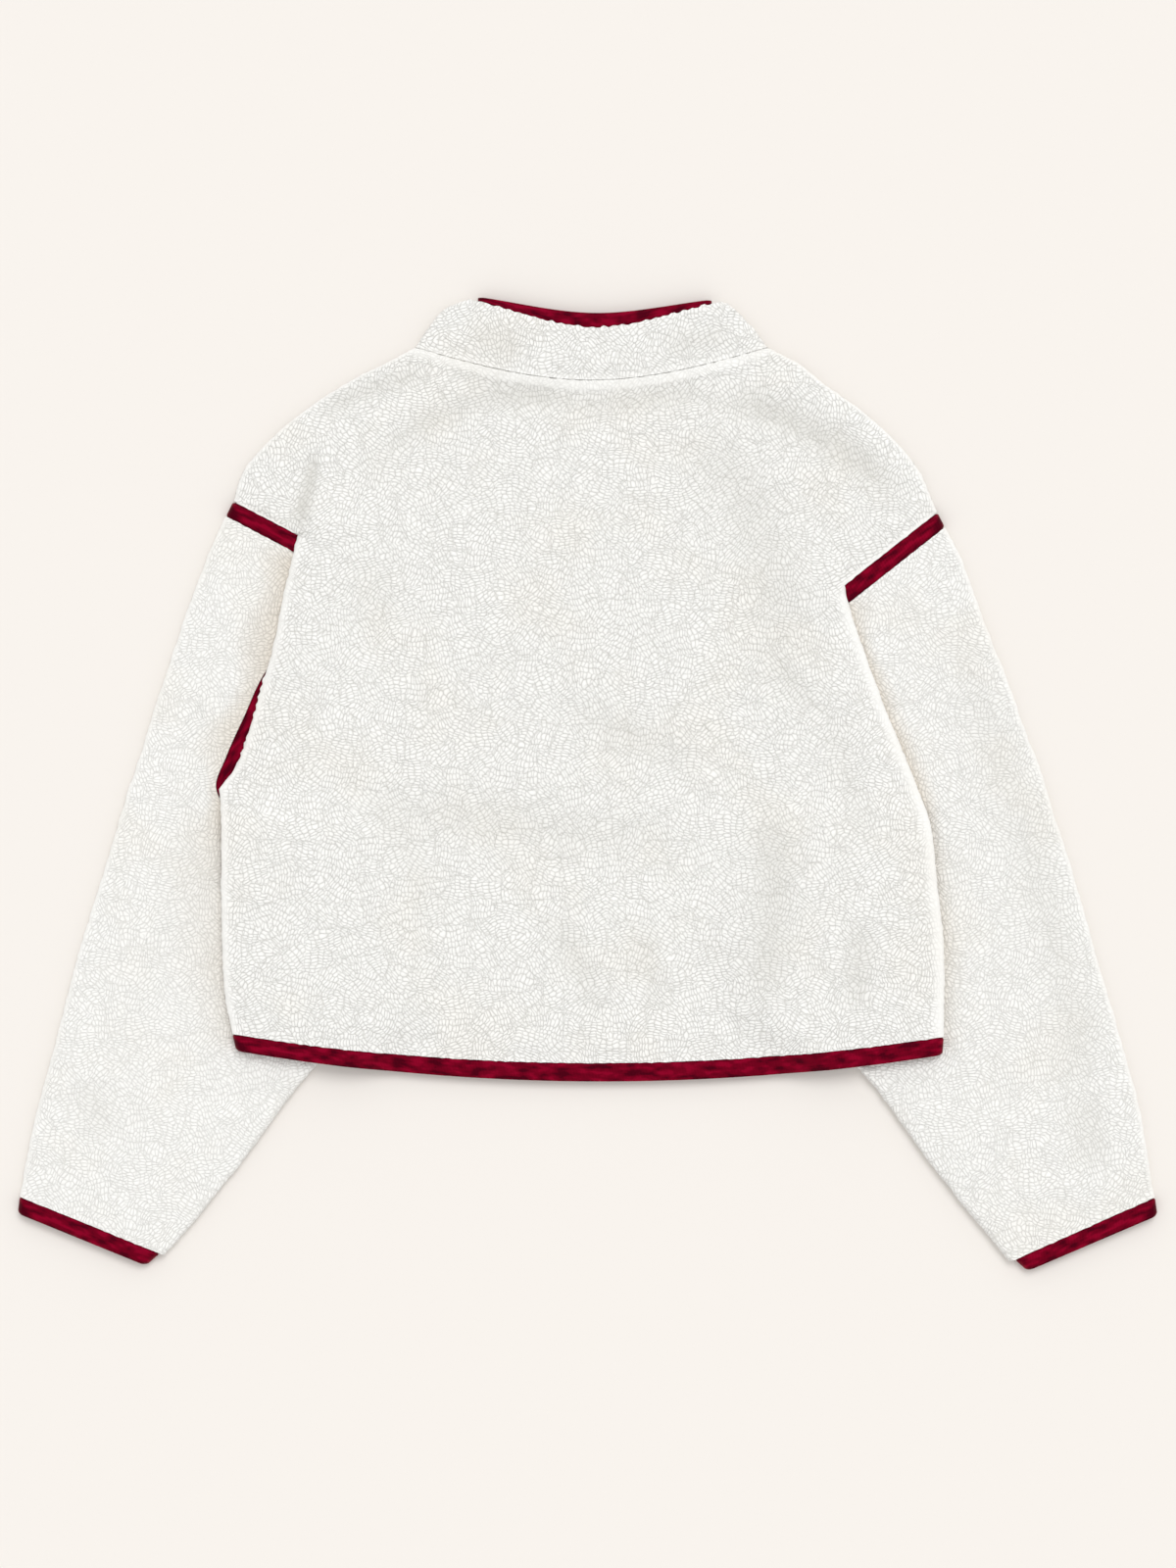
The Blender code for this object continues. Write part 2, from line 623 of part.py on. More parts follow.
def make_collar(material, collection):
    rows = np.array(COLLAR, float)
    rows[0, [1, 3]] += SEAM
    sections = []
    for number, row in enumerate(rows):
        path = row_path(row[:2], row[2:4], row[4], COLLAR_COLUMNS_ACROSS, (FOLD, FOLD), row[5])
        rise = COLLAR_CROWN if 0 < number < len(COLLAR) - 1 else 0.0
        sections.append(tube(path, path[::-1], ((1.0, FOLD), (1.0, FOLD)), PLY, WALL,
                             lambda x, y, run: rise * smooth(run / CROWN_RUN), level(0.0)))
    return make_solid("collar", sections, material, collection)


def make_collar_binding(material, collection):
    top = dict(zip(COLLAR_COLUMNS, COLLAR[-1]))
    far = np.array(COLLAR_TAPE, float)
    path_x = row_path(far[:2], far[2:4], 0.0, COLLAR_COLUMNS_ACROSS, (FOLD, FOLD))[:, 0]
    across = (path_x - top["left_x"]) / (top["right_x"] - top["left_x"])
    near_y = top["left_y"] + (top["right_y"] - top["left_y"]) * across
    near_y = near_y - top["dip"] * hang(across, top["swoop"]) + SEAM
    far_y = row_path(far[:2], far[2:4], far[4], COLLAR_COLUMNS_ACROSS, (FOLD, FOLD), far[5])[:, 1]
    rows = []
    for share, _ in TAPE_ROWS:
        path = np.column_stack([path_x, (1 - share) * near_y + share * far_y])
        rows.append((path, path[::-1], level(0.0)))
    return make_tape("collar_binding", rows, material, collection)


def clear_scene():
    for piece in list(bpy.data.objects):
        bpy.data.objects.remove(piece, do_unlink=True)


def main():
    clear_scene()
    collection = bpy.data.collections.new("Sherpa fleece pullover")
    bpy.context.scene.collection.children.link(collection)
    fleece = make_material("Off-white sherpa fleece", FLEECE_COLOUR, 0.95)
    tape = make_material("Burgundy knit tape", TAPE_COLOUR, 0.75)
    make_back(fleece, collection)
    make_front(fleece, collection)
    make_collar(fleece, collection)
    make_collar_binding(tape, collection)
    make_hem_binding(tape, collection)
    for side in ("left", "right"):
        make_sleeve(side, fleece, collection)
        make_armhole_binding(side, tape, collection)
        make_cuff_binding(side, tape, collection)


main()
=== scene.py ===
# %% [markdown]
# # Sherpa fleece pullover, laid flat with its back up
#
# A cropped, boxy pullover in off-white sherpa fleece. A flat burgundy knit tape binds the collar,
# the armholes, the cuffs and the hem. It lies on a pale floor with its sleeves folded down at the
# shoulders, so that the sides of the body lie on the sleeves.
#
# Every piece here takes the place of one plain solid of the frame. The tables are in millimetres,
# as a maker would read them off a tape measure, and the meshes are in metres.

# %% Load the frame
import math
import bpy
import numpy as np
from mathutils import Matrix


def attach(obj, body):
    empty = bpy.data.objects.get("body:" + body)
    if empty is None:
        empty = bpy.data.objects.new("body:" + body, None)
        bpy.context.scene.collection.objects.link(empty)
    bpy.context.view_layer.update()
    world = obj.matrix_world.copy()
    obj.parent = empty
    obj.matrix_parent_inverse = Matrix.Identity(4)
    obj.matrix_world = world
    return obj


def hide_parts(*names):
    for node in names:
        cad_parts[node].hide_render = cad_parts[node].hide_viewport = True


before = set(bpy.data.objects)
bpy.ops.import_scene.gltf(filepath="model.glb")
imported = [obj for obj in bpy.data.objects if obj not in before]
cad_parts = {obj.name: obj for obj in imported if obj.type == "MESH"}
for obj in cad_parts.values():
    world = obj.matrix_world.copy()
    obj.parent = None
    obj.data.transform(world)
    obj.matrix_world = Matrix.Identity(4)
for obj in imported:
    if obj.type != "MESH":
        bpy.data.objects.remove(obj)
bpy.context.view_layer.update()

MM = 0.001

# %% [markdown]
# ## The cloth's own sizes
#
# Sherpa is a knit ground with a curly pile, and the two together are about 4 mm thick. Two layers
# that lie on each other leave a little air between them. The tape is a flat knit, thinner than the
# fleece, so the pile stands above it along every seam.

# %% Sizes of the cloth and the tape
WALL, AIR, SEAM = 4.0, 1.0, 0.3
PLY = 2 * WALL + AIR                   # two layers of fleece
RIM = (PLY - SEAM) / 2                 # radius of a seam's rolled edge
FOLD = PLY / 2                         # radius of a folded edge
TAPE, TAPE_WALL, TAPE_PLY = 12.0, 3.2, 8.8  # width over the armhole, one layer, and two with air
ON_SLEEVE = PLY + SEAM                 # height of the body's underside over a sleeve
LIP, LIP_ROUND = 5.3, 5.0              # the back's soft lip over the armhole seam
LIP_IN, LIP_OUT = 12.0, 5.0            # above the seam's corner the lip steps down across it
SETTLE = 50.0                          # the run over which the body comes down off a sleeve
TUBE_TOP, TUBE_FULL = 0.0, -41.0       # Y where the body starts to climb onto a sleeve, and is on it
NECK_DIP, HEM_DIP = 24.0, 21.0         # how far the neck's and the hem's middles hang
NECK_SWOOP, SWOOP_RUN = 0.45, 0.3      # how flat the neck's middle is, and where that has died out
CROWN, SLEEVE_CROWN, COLLAR_CROWN = 1.6, 1.2, 1.0  # how much the cloth stands off in its middle
CROWN_RUN = 22.0                       # run from an edge over which the cloth rises to its crown
UNDERARM_CLEAR = 6.0                   # how far the sleeve's edge stays short of the underarm
BODY_CLEAR = 32.0                      # how far out from the body a sleeve starts to rise
CUFF_INSET = 4.0                       # how far the cuff's tape stops short of the sleeve's inner fold
print("two layers of fleece", PLY, "mm, two of tape", TAPE_PLY, "mm")

# %% [markdown]
# ## The outline
#
# Each edge is a short table of places along it, and a smooth curve runs through them. A garment
# that has been laid out by hand is never quite even, so the left and right sides differ.

# %% Edges of the body and the sleeves
EDGES = {
    "left": {
        "shoulder": [(-127, 321), (-150, 309), (-174, 297), (-208, 275), (-233, 254), (-253, 231),
                     (-261, 208)],
        "armhole": [(-261, 208), (-213, 183)],
        "fold": [(-213, 183), (-222, 146), (-231, 101), (-242, 62), (-250, 35), (-258, 14), (-271, -4)],
        "side": [(-271, -4), (-269, -36), (-269, -93), (-267, -148), (-261, -183)],
    },
    "right": {
        "shoulder": [(132, 321), (153, 310), (171, 296), (202, 274), (226, 252), (243, 231),
                     (257, 200)],
        "armhole": [(257, 200), (188, 146)],
        "fold": [(188, 146), (194, 123), (203, 98), (218, 56), (231, 25), (244, -8)],
        "side": [(244, -8), (252, -33), (256, -70), (261, -122), (261, -185)],
    },
}
# How far in from each edge the body still lies on the sleeve: Y, X
REACH = {
    "left": [(238, -194), (182, -189), (72, -191), (-4, -184), (-41, -160), (-72, -142), (-115, -136),
             (-165, -149), (-206, -182), (-223, -196)],
    "right": [(191, 169), (146, 164), (72, 160), (-8, 155), (-41, 142), (-72, 130), (-115, 122),
              (-165, 138), (-209, 184), (-223, 196)],
}
LIP_FADE = {"left": (234.0, 184.0), "right": (191.0, 147.0)}

# From the shoulder tip to the underarm: outer fold X, Y, armhole seam on the back X, Y, on the front X, Y
ARMHOLE = {
    "left": [
        (-266.4, 197.1, -216, 178, -239, 173),
        (-278, 173, -202, 164, -214, 140),
        (-286, 151, -200, 142, -199, 110),
        (-296, 125, -207, 112, -187, 80),
        (-308, 89, -232.5, 78, -179, 49),
        (-318, 59, -247, 47, -175, 21),
        (-325, 36, -260, 18, -174, -5),
        (-330, 20, -267, -3, -174, -27),
        (-333, 10, -252, -21, -175, -42),
        (-336, 3, -217, -40, -176, -52),
        (-338, -3, -179, -61, -179, -61),
    ],
    "right": [
        (262.5, 189.1, 192, 141, 236, 172),
        (273, 169, 179, 129, 213, 144),
        (280, 151, 176, 108, 197, 116),
        (290, 124, 175, 83, 185, 83),
        (304, 88, 175, 58, 179, 52),
        (314, 61, 175, 35, 176, 26),
        (323, 36, 175, 12, 175, 4),
        (330, 18, 175, -10, 174, -15),
        (335, 5, 174, -31, 174, -34),
        (337, -3, 173, -47, 173, -50),
        (339, -10, 171, -61, 171, -61),
    ],
}
UNDERARM_ACROSS = {"left": (0.87, 0.50), "right": (-0.87, 0.50)}

# From the underarm to the cuff: outer fold X, Y, inner fold X, Y
SLEEVE = {
    "left": [
        (-338, -3, -179, -61),
        (-356, -64, -154, -123),
        (-375, -125, -173, -174),
        (-393, -194, -216, -226),
        (-408, -251, -260, -285),
        (-418, -303, -311, -346.5),
    ],
    "right": [
        (339, -10, 171, -61),
        (356, -63, 141, -111),
        (374, -126, 158, -165),
        (390, -181, 209, -221),
        (405, -237, 256, -285),
        (417, -303.5, 310, -351),
    ],
}
CUFF_END = {"left": ((-419.5, -315.5), (-325, -354)), "right": ((419, -317), (323, -358))}
FRONT_CORNER = {
    "left": [(-200, -66), (-235, -72), (-270, -77)],
    "right": [(195, -66), (226, -72), (257, -77)],
}
# Collar rows from the neck seam to the top edge: left X, Y, right X, Y, dip of the middle, and how
# much the dip is drawn out flat at the middle and the ends
COLLAR = [
    (-127, 321, 132, 321, 24.0, 0.45),
    (-117, 336, 122, 334, 23.5, 0.60),
    (-106, 349, 110, 347, 22.0, 0.85),
    (-95, 354, 103, 353, 20.8, 0.95),
    (-88, 356, 98, 354, 19.8, 1.00),
]
COLLAR_TAPE = (-81, 358, 91, 356, 10.8, 1.0)
HEM_TAPE = (-258, -195.5, 260, -198.5, 21.6)
print("rows of the armhole tables:", {side: len(rows) for side, rows in ARMHOLE.items()})

# %% [markdown]
# ## Curves and soft steps
#
# Three small helpers do all the drawing. `smooth` is a soft step from 0 to 1, `curve` is a smooth
# curve through a table's points, and `along` reads places from it by their share of its length.

# %% Helpers for curves


def smooth(value):
    """0 below 0, 1 above 1, and an even S between them."""
    value = np.clip(value, 0.0, 1.0)
    return value * value * (3.0 - 2.0 * value)


def unit(vector):
    return np.asarray(vector, float) / np.linalg.norm(vector)


def curve(points, places):
    """Points of a smooth curve, at places counted in table rows from 0."""
    p = np.asarray(points, float)
    p = np.vstack([2 * p[0] - p[1], p, 2 * p[-1] - p[-2]])
    places = np.clip(np.asarray(places, float), 0.0, len(p) - 3.0)
    first = np.minimum(places.astype(int), len(p) - 4)
    t = (places - first)[:, None]
    a, b, c, d = (p[first + k] for k in range(4))
    return b + 0.5 * t * (c - a + t * (2 * a - 5 * b + 4 * c - d + t * (3 * b - 3 * c + d - a)))


def along(points, shares):
    """Points of the same curve, at shares of its length."""
    fine = curve(points, np.linspace(0, len(points) - 1, 40 * len(points)))
    run = np.concatenate([[0.0], np.cumsum(np.linalg.norm(np.diff(fine, axis=0), axis=1))])
    return np.stack([np.interp(np.asarray(shares) * run[-1], run, axis) for axis in fine.T], axis=1)


print("left shoulder's middle", along(EDGES["left"]["shoulder"], [0.5]).round(1).tolist())

# %% [markdown]
# ## Sherpa fleece
#
# From a step away the pile of sherpa is a skin of small grains, each a curl of about 3 mm, with
# fine dark cracks between them. The curls lie in short rows, and the rows turn from patch to patch.
# Here a coarse Voronoi pattern gives each patch its own angle, and a fine one, turned by it, draws
# the curls. It is a node group, so that another finish could use the same pile with other colours.
# It reads the cut, so the rows follow the cloth round an edge.

# %% Small helpers for node trees


def add_node(tree, kind, inputs=None, **settings):
    """A node with its settings, its plain inputs set and its linked inputs joined."""
    node = tree.nodes.new(kind)
    for name, value in settings.items():
        setattr(node, name, value)
    for name, value in (inputs or {}).items():
        if isinstance(value, bpy.types.NodeSocket):
            tree.links.new(value, node.inputs[name])
        else:
            node.inputs[name].default_value = value
    return node


def arithmetic(tree, operation, *values):
    return add_node(tree, "ShaderNodeMath", dict(enumerate(values)), operation=operation).outputs[0]


def soft_step(tree, value, start, stop, low=0.0, high=1.0):
    """low below start, high above stop."""
    node = add_node(tree, "ShaderNodeMapRange", {"Value": value, "From Min": start, "From Max": stop,
                                                 "To Min": low, "To Max": high})
    node.interpolation_type = "SMOOTHSTEP"
    return node.outputs["Result"]


def noise(tree, vector, scale, detail=1.0, shift=0.0):
    """A flat noise pattern; shift moves it, so that two of one scale differ."""
    moved = add_node(tree, "ShaderNodeMapping", {"Vector": vector, "Location": (shift, shift / 2, 0.0)})
    return add_node(tree, "ShaderNodeTexNoise",
                    {"Vector": moved.outputs[0], "Scale": scale, "Detail": detail},
                    noise_dimensions="2D").outputs


def cells(tree, vector, scale, feature="F1", **inputs):
    """A flat Voronoi pattern, which gives the distance to a cell's middle or to its edge."""
    return add_node(tree, "ShaderNodeTexVoronoi", {"Vector": vector, "Scale": scale, **inputs},
                    voronoi_dimensions="2D", feature=feature).outputs


def new_group(name, inputs, outputs):
    """A shader node group with its sockets, its tree and its two end nodes."""
    group = bpy.data.node_groups.new(name, "ShaderNodeTree")
    for socket, kind in inputs.items():
        group.interface.new_socket(socket, in_out="INPUT", socket_type=kind)
    for socket, kind in outputs.items():
        group.interface.new_socket(socket, in_out="OUTPUT", socket_type=kind)
    return group, group.nodes.new("NodeGroupInput"), group.nodes.new("NodeGroupOutput")


print("helpers for", ", ".join(f.__name__ for f in (add_node, arithmetic, soft_step, noise, cells)))

# %% The pile as a node group
CURLS_PER_M, PATCHES_PER_M, CRACKS_PER_M = 390.0, 60.0, 62.0
CURL_SHAPE = (1.1, 0.6, 1.0)           # the curls are longer across their row than along it
CURL_UNEVEN = 0.5                      # 0 would set the curls out in a square grid
PATCH_BEND = (60.0, 0.007, 0.0)        # bends per metre, their reach in metres, and a shift
CRACK_BEND = (70.0, 0.010, 3.0)
CRACK_WIDTH, CRACK_LOW = 0.045, 0.32   # its share of a cell, and how low the pile is in it
FULL_TURN = 6.28


def make_pile():
    """Pile height 0 to 1, and a slow tint 0 to 1, from a place on the cut."""
    tree, start, end = new_group("sherpa pile", {"Cut": "NodeSocketVector"},
                                 {"Pile": "NodeSocketFloat", "Tint": "NodeSocketFloat"})
    cut = start.outputs["Cut"]

    def wandering(scale, reach, shift):
        """The cut, bent to and fro."""
        bends = noise(tree, cut, scale, 2.0, shift)["Color"]
        return add_node(tree, "ShaderNodeVectorMath", {0: bends, 1: (reach, reach, 0.0), 2: cut},
                        operation="MULTIPLY_ADD").outputs[0]

    bent = wandering(*PATCH_BEND)
    patch = cells(tree, bent, PATCHES_PER_M)
    angle = add_node(tree, "ShaderNodeSeparateColor", {"Color": patch["Color"]}).outputs[0]
    turned_cut = add_node(tree, "ShaderNodeVectorRotate",
                          {"Vector": bent, "Angle": arithmetic(tree, "MULTIPLY", angle, FULL_TURN)},
                          rotation_type="Z_AXIS").outputs[0]
    rows = add_node(tree, "ShaderNodeMapping", {"Vector": turned_cut, "Scale": CURL_SHAPE}).outputs[0]
    curl = cells(tree, rows, CURLS_PER_M, "SMOOTH_F1", Randomness=CURL_UNEVEN, Smoothness=0.35)
    edge = cells(tree, rows, CURLS_PER_M, "DISTANCE_TO_EDGE", Randomness=CURL_UNEVEN)
    round_top = soft_step(tree, curl["Distance"], 0.1, 0.75, 1.0, 0.0)
    steep_side = soft_step(tree, edge["Distance"], 0.0, 0.17)
    height = arithmetic(tree, "MULTIPLY_ADD", steep_side, 0.5, arithmetic(tree, "MULTIPLY", round_top, 0.5))
    crack = cells(tree, wandering(*CRACK_BEND), CRACKS_PER_M, "DISTANCE_TO_EDGE")
    closed = soft_step(tree, noise(tree, cut, 45.0, 1.0, 4.0)["Fac"], 0.45, 0.66, CRACK_LOW, 1.0)
    opened = arithmetic(tree, "MAXIMUM", soft_step(tree, crack["Distance"], 0.0, CRACK_WIDTH), closed)
    tree.links.new(arithmetic(tree, "MULTIPLY", height, opened), end.inputs["Pile"])
    tree.links.new(noise(tree, cut, 14.0, 2.0, 8.0)["Fac"], end.inputs["Tint"])
    return tree


PILE = make_pile()
print("pile:", round(1000 / CURLS_PER_M, 1), "mm curls in patches of", round(1000 / PATCHES_PER_M), "mm")

# %% [markdown]
# ## The fleece's colours
#
# The tops of the curls are evenly light, and the grooves between them are darkened as painted shade,
# so the colour follows the pile's height raised to a power under 1. Three marks, which a mesh carries
# on its points, change it from place to place. Where the pile is combed flat, as round a fold, it is
# smooth and light, and round the folds that lightness is also painted light. In a trough the pile is
# painted darker, as painted shade. On a sleeve beside the body it is painted a little darker and
# warmer, as the painted shade of the body.

# %% Fleece colours and small helpers for materials
# The deep colour is painted shade at the bottom of the grooves between the curls.
FLEECE_GROOVE_SHADE, FLEECE_TOP = (0.537, 0.528, 0.499, 1.0), (0.888, 0.884, 0.863, 1.0)
FLEECE_WARM, WARMEST = (0.985, 0.970, 0.945, 1.0), 0.6
# Both are painted shade: the first on a sleeve beside the body, the second in troughs.
FLEECE_SHADED, FLEECE_TROUGH_SHADE = (0.82, 0.765, 0.70, 1.0), (0.88, 0.875, 0.86, 1.0)
COMBED_AND_LIT_HEIGHT, COMBED_FLAT = 0.82, 0.8  # how high the pile looks where it is combed, which paints it lighter round folds as painted light, and how flat
TROUGH_SINK = 0.5                      # how much lower the pile's height is taken in a trough, which paints it darker as shade
FLAT_TOPS = 0.45                       # the power; 1 would shade the curls evenly from edge to top
PILE_DEPTH = 0.00055                   # of the bump, in metres


def new_material(name):
    """A material, its tree, its Principled shader and the cut's coordinates."""
    material = bpy.data.materials.new(name)
    material.use_nodes = True
    tree = material.node_tree
    cut = add_node(tree, "ShaderNodeUVMap", uv_map="cut").outputs["UV"]
    return material, tree, tree.nodes["Principled BSDF"], cut


def blend_colours(tree, share, low, high, blend="MIX"):
    mix = tree.nodes.new("ShaderNodeMix")
    mix.data_type, mix.blend_type = "RGBA", blend
    for socket, value in ((mix.inputs[0], share), (mix.inputs[6], low), (mix.inputs[7], high)):
        if isinstance(value, bpy.types.NodeSocket):
            tree.links.new(value, socket)
        else:
            socket.default_value = value
    return mix.outputs[2]


def tinted(tree, share, colour, tint):
    """The colour, multiplied by a tint as far as share says."""
    return blend_colours(tree, share, colour, blend_colours(tree, 1.0, colour, tint, "MULTIPLY"))


def plain_inputs(shader, **values):
    """Sets the shader's own sockets, with _ for the spaces in their names."""
    for name, value in values.items():
        shader.inputs[name.replace("_", " ")].default_value = value


print("fleece from", FLEECE_GROOVE_SHADE[:3], "to", FLEECE_TOP[:3])

# %% Fleece material


def make_fleece():
    material, tree, shader, cut = new_material("sherpa fleece")
    pile = add_node(tree, "ShaderNodeGroup", node_tree=PILE)
    tree.links.new(cut, pile.inputs["Cut"])
    combed_and_lit, trough_shading, shade = (add_node(tree, "ShaderNodeAttribute", attribute_name=mark).outputs["Fac"]
                            for mark in ("combed_and_lit", "trough_shade", "shade"))
    # The combed mark flattens the pile towards one height; round folds this also paints it lighter, as
    # painted light.
    standing = arithmetic(tree, "SUBTRACT", 1.0, arithmetic(tree, "MULTIPLY", combed_and_lit, COMBED_FLAT))
    above = arithmetic(tree, "SUBTRACT", pile.outputs["Pile"], COMBED_AND_LIT_HEIGHT)
    height = arithmetic(tree, "MULTIPLY_ADD", above, standing, COMBED_AND_LIT_HEIGHT)
    # In a trough the pile's height is taken lower, which darkens its colour as painted shade.
    sunken = arithmetic(tree, "SUBTRACT", 1.0, arithmetic(tree, "MULTIPLY", trough_shading, TROUGH_SINK))
    height = arithmetic(tree, "MULTIPLY", height, sunken)
    # The colour darkens towards the grooves of the pile, as painted shade.
    colour = blend_colours(tree, arithmetic(tree, "POWER", height, FLAT_TOPS), FLEECE_GROOVE_SHADE, FLEECE_TOP)
    warm = soft_step(tree, pile.outputs["Tint"], 0.45, 0.75, 0.0, WARMEST)
    for share, tint in ((trough_shading, FLEECE_TROUGH_SHADE), (shade, FLEECE_SHADED), (warm, FLEECE_WARM)):
        colour = tinted(tree, share, colour, tint)
    tree.links.new(colour, shader.inputs["Base Color"])
    bump = add_node(tree, "ShaderNodeBump", {"Height": height, "Distance": PILE_DEPTH, "Strength": 1.0})
    tree.links.new(bump.outputs[0], shader.inputs["Normal"])
    tree.links.new(soft_step(tree, combed_and_lit, 0.0, 1.0, 0.12, 0.22), shader.inputs["Sheen Weight"])
    plain_inputs(shader, Roughness=1.0, Specular_IOR_Level=0.15, Sheen_Roughness=0.6)
    return material


FLEECE = make_fleece()
print("material", FLEECE.name)

# %% [markdown]
# ## Knit tape
#
# The tape is a fine, close knit in burgundy, with a satin gloss. Its ribs run across it and are too
# fine to model, so they are bump. Patches a centimetre or two long are painted a little lighter or
# darker, as painted light and shade on its gloss, and its long edges turn down into shade.

# %% Tape material
TAPE_PAINTED_SHADE, TAPE_MIDDLE = (0.046, 0.0001, 0.004, 1.0), (0.122, 0.0003, 0.008, 1.0)
TAPE_PAINTED_LIGHT = (0.205, 0.0010, 0.015, 1.0)
SHADING_PATCHES_PER_M, SHADING_PATCH_SHAPE = 75.0, (1.0, 3.0, 1.0)  # the patches of painted light and shade are longer along the tape
RIBS_PER_M, RIB_DEPTH = 450.0, 0.00012
ONE_BAND = 0.314                       # the wave texture's scale for one band in each unit


def make_tape_material():
    material, tree, shader, cut = new_material("burgundy knit tape")
    stretched = add_node(tree, "ShaderNodeMapping", {"Vector": cut, "Scale": SHADING_PATCH_SHAPE}).outputs[0]
    # Painted light and shade: patches along the tape lighter and darker than its own colour.
    painted_shading = noise(tree, stretched, SHADING_PATCHES_PER_M, 2.0)["Fac"]
    colour = blend_colours(tree, soft_step(tree, painted_shading, 0.3, 0.5), TAPE_PAINTED_SHADE, TAPE_MIDDLE)
    colour = blend_colours(tree, soft_step(tree, painted_shading, 0.5, 0.7), colour, TAPE_PAINTED_LIGHT)
    tree.links.new(colour, shader.inputs["Base Color"])
    ribs = add_node(tree, "ShaderNodeTexWave",
                    {"Vector": cut, "Scale": ONE_BAND * RIBS_PER_M, "Distortion": 0.6, "Detail": 1.0},
                    bands_direction="X").outputs["Fac"]
    bump = add_node(tree, "ShaderNodeBump", {"Height": ribs, "Distance": RIB_DEPTH, "Strength": 1.0})
    tree.links.new(bump.outputs[0], shader.inputs["Normal"])
    plain_inputs(shader, Roughness=0.55, Specular_IOR_Level=0.3, Specular_Tint=(1.0, 0.04, 0.15, 1.0),
                 Sheen_Weight=0.10, Sheen_Roughness=0.4, Sheen_Tint=(1.0, 0.0, 0.06, 1.0))
    return material


TAPE_KNIT = make_tape_material()
print("material", TAPE_KNIT.name)

# %% [markdown]
# ## Creases and lumps
#
# Thick fleece has no sharp folds. It lies in long soft troughs where the body was smoothed out by
# hand, and its pile stands in lumps. A trough is a dent along a bowed line that fades at both ends.
# The lumps are many waves of one length, which cross in all directions: where they add up, the
# cloth stands proud. The finest curls are left to the material, because they are smaller than the
# mesh's faces.

# %% Troughs
# From x0, y0 to x1, y1, with the bow of its middle, its depth and its width; a depth below 0 is a dent
CREASE_COLUMNS = ("x0", "y0", "x1", "y1", "bow", "depth", "width")
BODY_CREASES = [
    (-205, 268, -108, 304, 4, -1.9, 8),
    (-116, 304, 4, 278, 0, -1.2, 10),
    (-24, 277, 104, 292, -2, -1.7, 10),
    (-173, 221, 19, 275, 31, -1.6, 10),
    (77, 288, 240, 197, 17, -2.5, 12),
    (64, 276, 146, 66, 24, -1.4, 21),
    (128, 96, 176, 44, 0, -1.2, 11),
    (-30, 62, 96, 6, 0, -1.2, 14),
    (-175, -18, 82, -44, 0, -1.1, 18),
    (132, 0, 125, -180, 7, -1.9, 17),
    (-28, -90, 14, -182, 0, -1.4, 11),
    (30, -98, 62, -176, 0, -0.9, 11),
    (202, -96, 194, -176, 0, -1.8, 11),
    (-165, 172, -152, 108, 0, -0.8, 18),
    (-172, 12, -103, -118, 6, -1.0, 15),
    (-200, 246, -213, 182, 0, -3.4, 5),
    (176, 62, 215, -58, -5, -1.0, 12),
]
SLEEVE_CREASES = [
    (250, 150, 368, -250, 14, -1.1, 17),
    (-262, 130, -352, -240, 8, -0.4, 13),
    (372, -150, 350, -240, 0, -0.9, 14),
    (360, -222, 374, -290, 0, -1.5, 15),
    (-374, -214, -352, -268, 0, -1.1, 15),
]
COLLAR_CREASES = [                     # these only paint shade in troughs, with no dent
    (-92, 332, -42, 318, 0, -1.6, 10),
    (48, 320, 112, 332, 0, -1.5, 9),
]
DEEPEST = -2.3                         # no trough may press the cloth into the layer under it
FULL_SHADE_DEPTH = 3.0                        # and one as deep as this gets the full painted shade
CREASE_FADE = 0.3                      # the share of its length over which a trough fades at each end


def creases(x, y, table):
    """How deep the troughs are at a place, all of them together."""
    total = np.zeros_like(x)
    for row in table:
        c = dict(zip(CREASE_COLUMNS, row))
        run_x, run_y = c["x1"] - c["x0"], c["y1"] - c["y0"]
        length = math.hypot(run_x, run_y)
        place = ((x - c["x0"]) * run_x + (y - c["y0"]) * run_y) / length ** 2
        aside = ((y - c["y0"]) * run_x - (x - c["x0"]) * run_y) / length
        aside = aside - c["bow"] * 4.0 * place * (1.0 - place)
        ends = smooth(place / CREASE_FADE) * smooth((1.0 - place) / CREASE_FADE)
        total += c["depth"] * ends * np.exp(-(aside / c["width"]) ** 2)
    return total


def trough_shade(places, table):
    """0 to 1: how much shade is painted in a trough, by how deep the trough is."""
    deep = -creases(places[..., 0], places[..., 1], table)
    return np.clip(deep / FULL_SHADE_DEPTH, 0.0, 1.0) * free(places)


print("troughs:", len(BODY_CREASES), "on the body and", len(SLEEVE_CREASES), "on the sleeves")

# %% Lumps as crossing waves


def waves(seed, length, count=48):
    """A field of crossing waves of about one length, in millimetres, between about -1 and 1."""
    draw = np.random.default_rng(seed)
    heading = draw.uniform(0.0, 2 * math.pi, count)
    number = 2 * math.pi / (length * draw.uniform(0.85, 1.2, count))
    phase = draw.uniform(0.0, 2 * math.pi, count)

    def field(cut):
        total = np.zeros(cut.shape[:-1])
        for a, k, p in zip(heading, number, phase):
            total += np.cos(k * (math.cos(a) * cut[..., 0] + math.sin(a) * cut[..., 1]) + p)
        return total / math.sqrt(count / 2) / 2

    return field


curls = waves(seed=11, length=7.0)
lumps = waves(seed=12, length=19.0)
swells = waves(seed=13, length=70.0)
print("curl heights", np.round(curls(np.array([[0.0, 0.0], [3.5, 0.0], [7.0, 0.0]])), 2).tolist())

# %% [markdown]
# ## How high the body lies
#
# Below the underarm both layers of the body lie on the sleeves, and between the sleeves they lie on
# the floor. Above it the back rolls over the armhole seam in a low lip, which dies out on the
# shoulder. These functions say how high, at any place.

# %% Height of the body over the floor


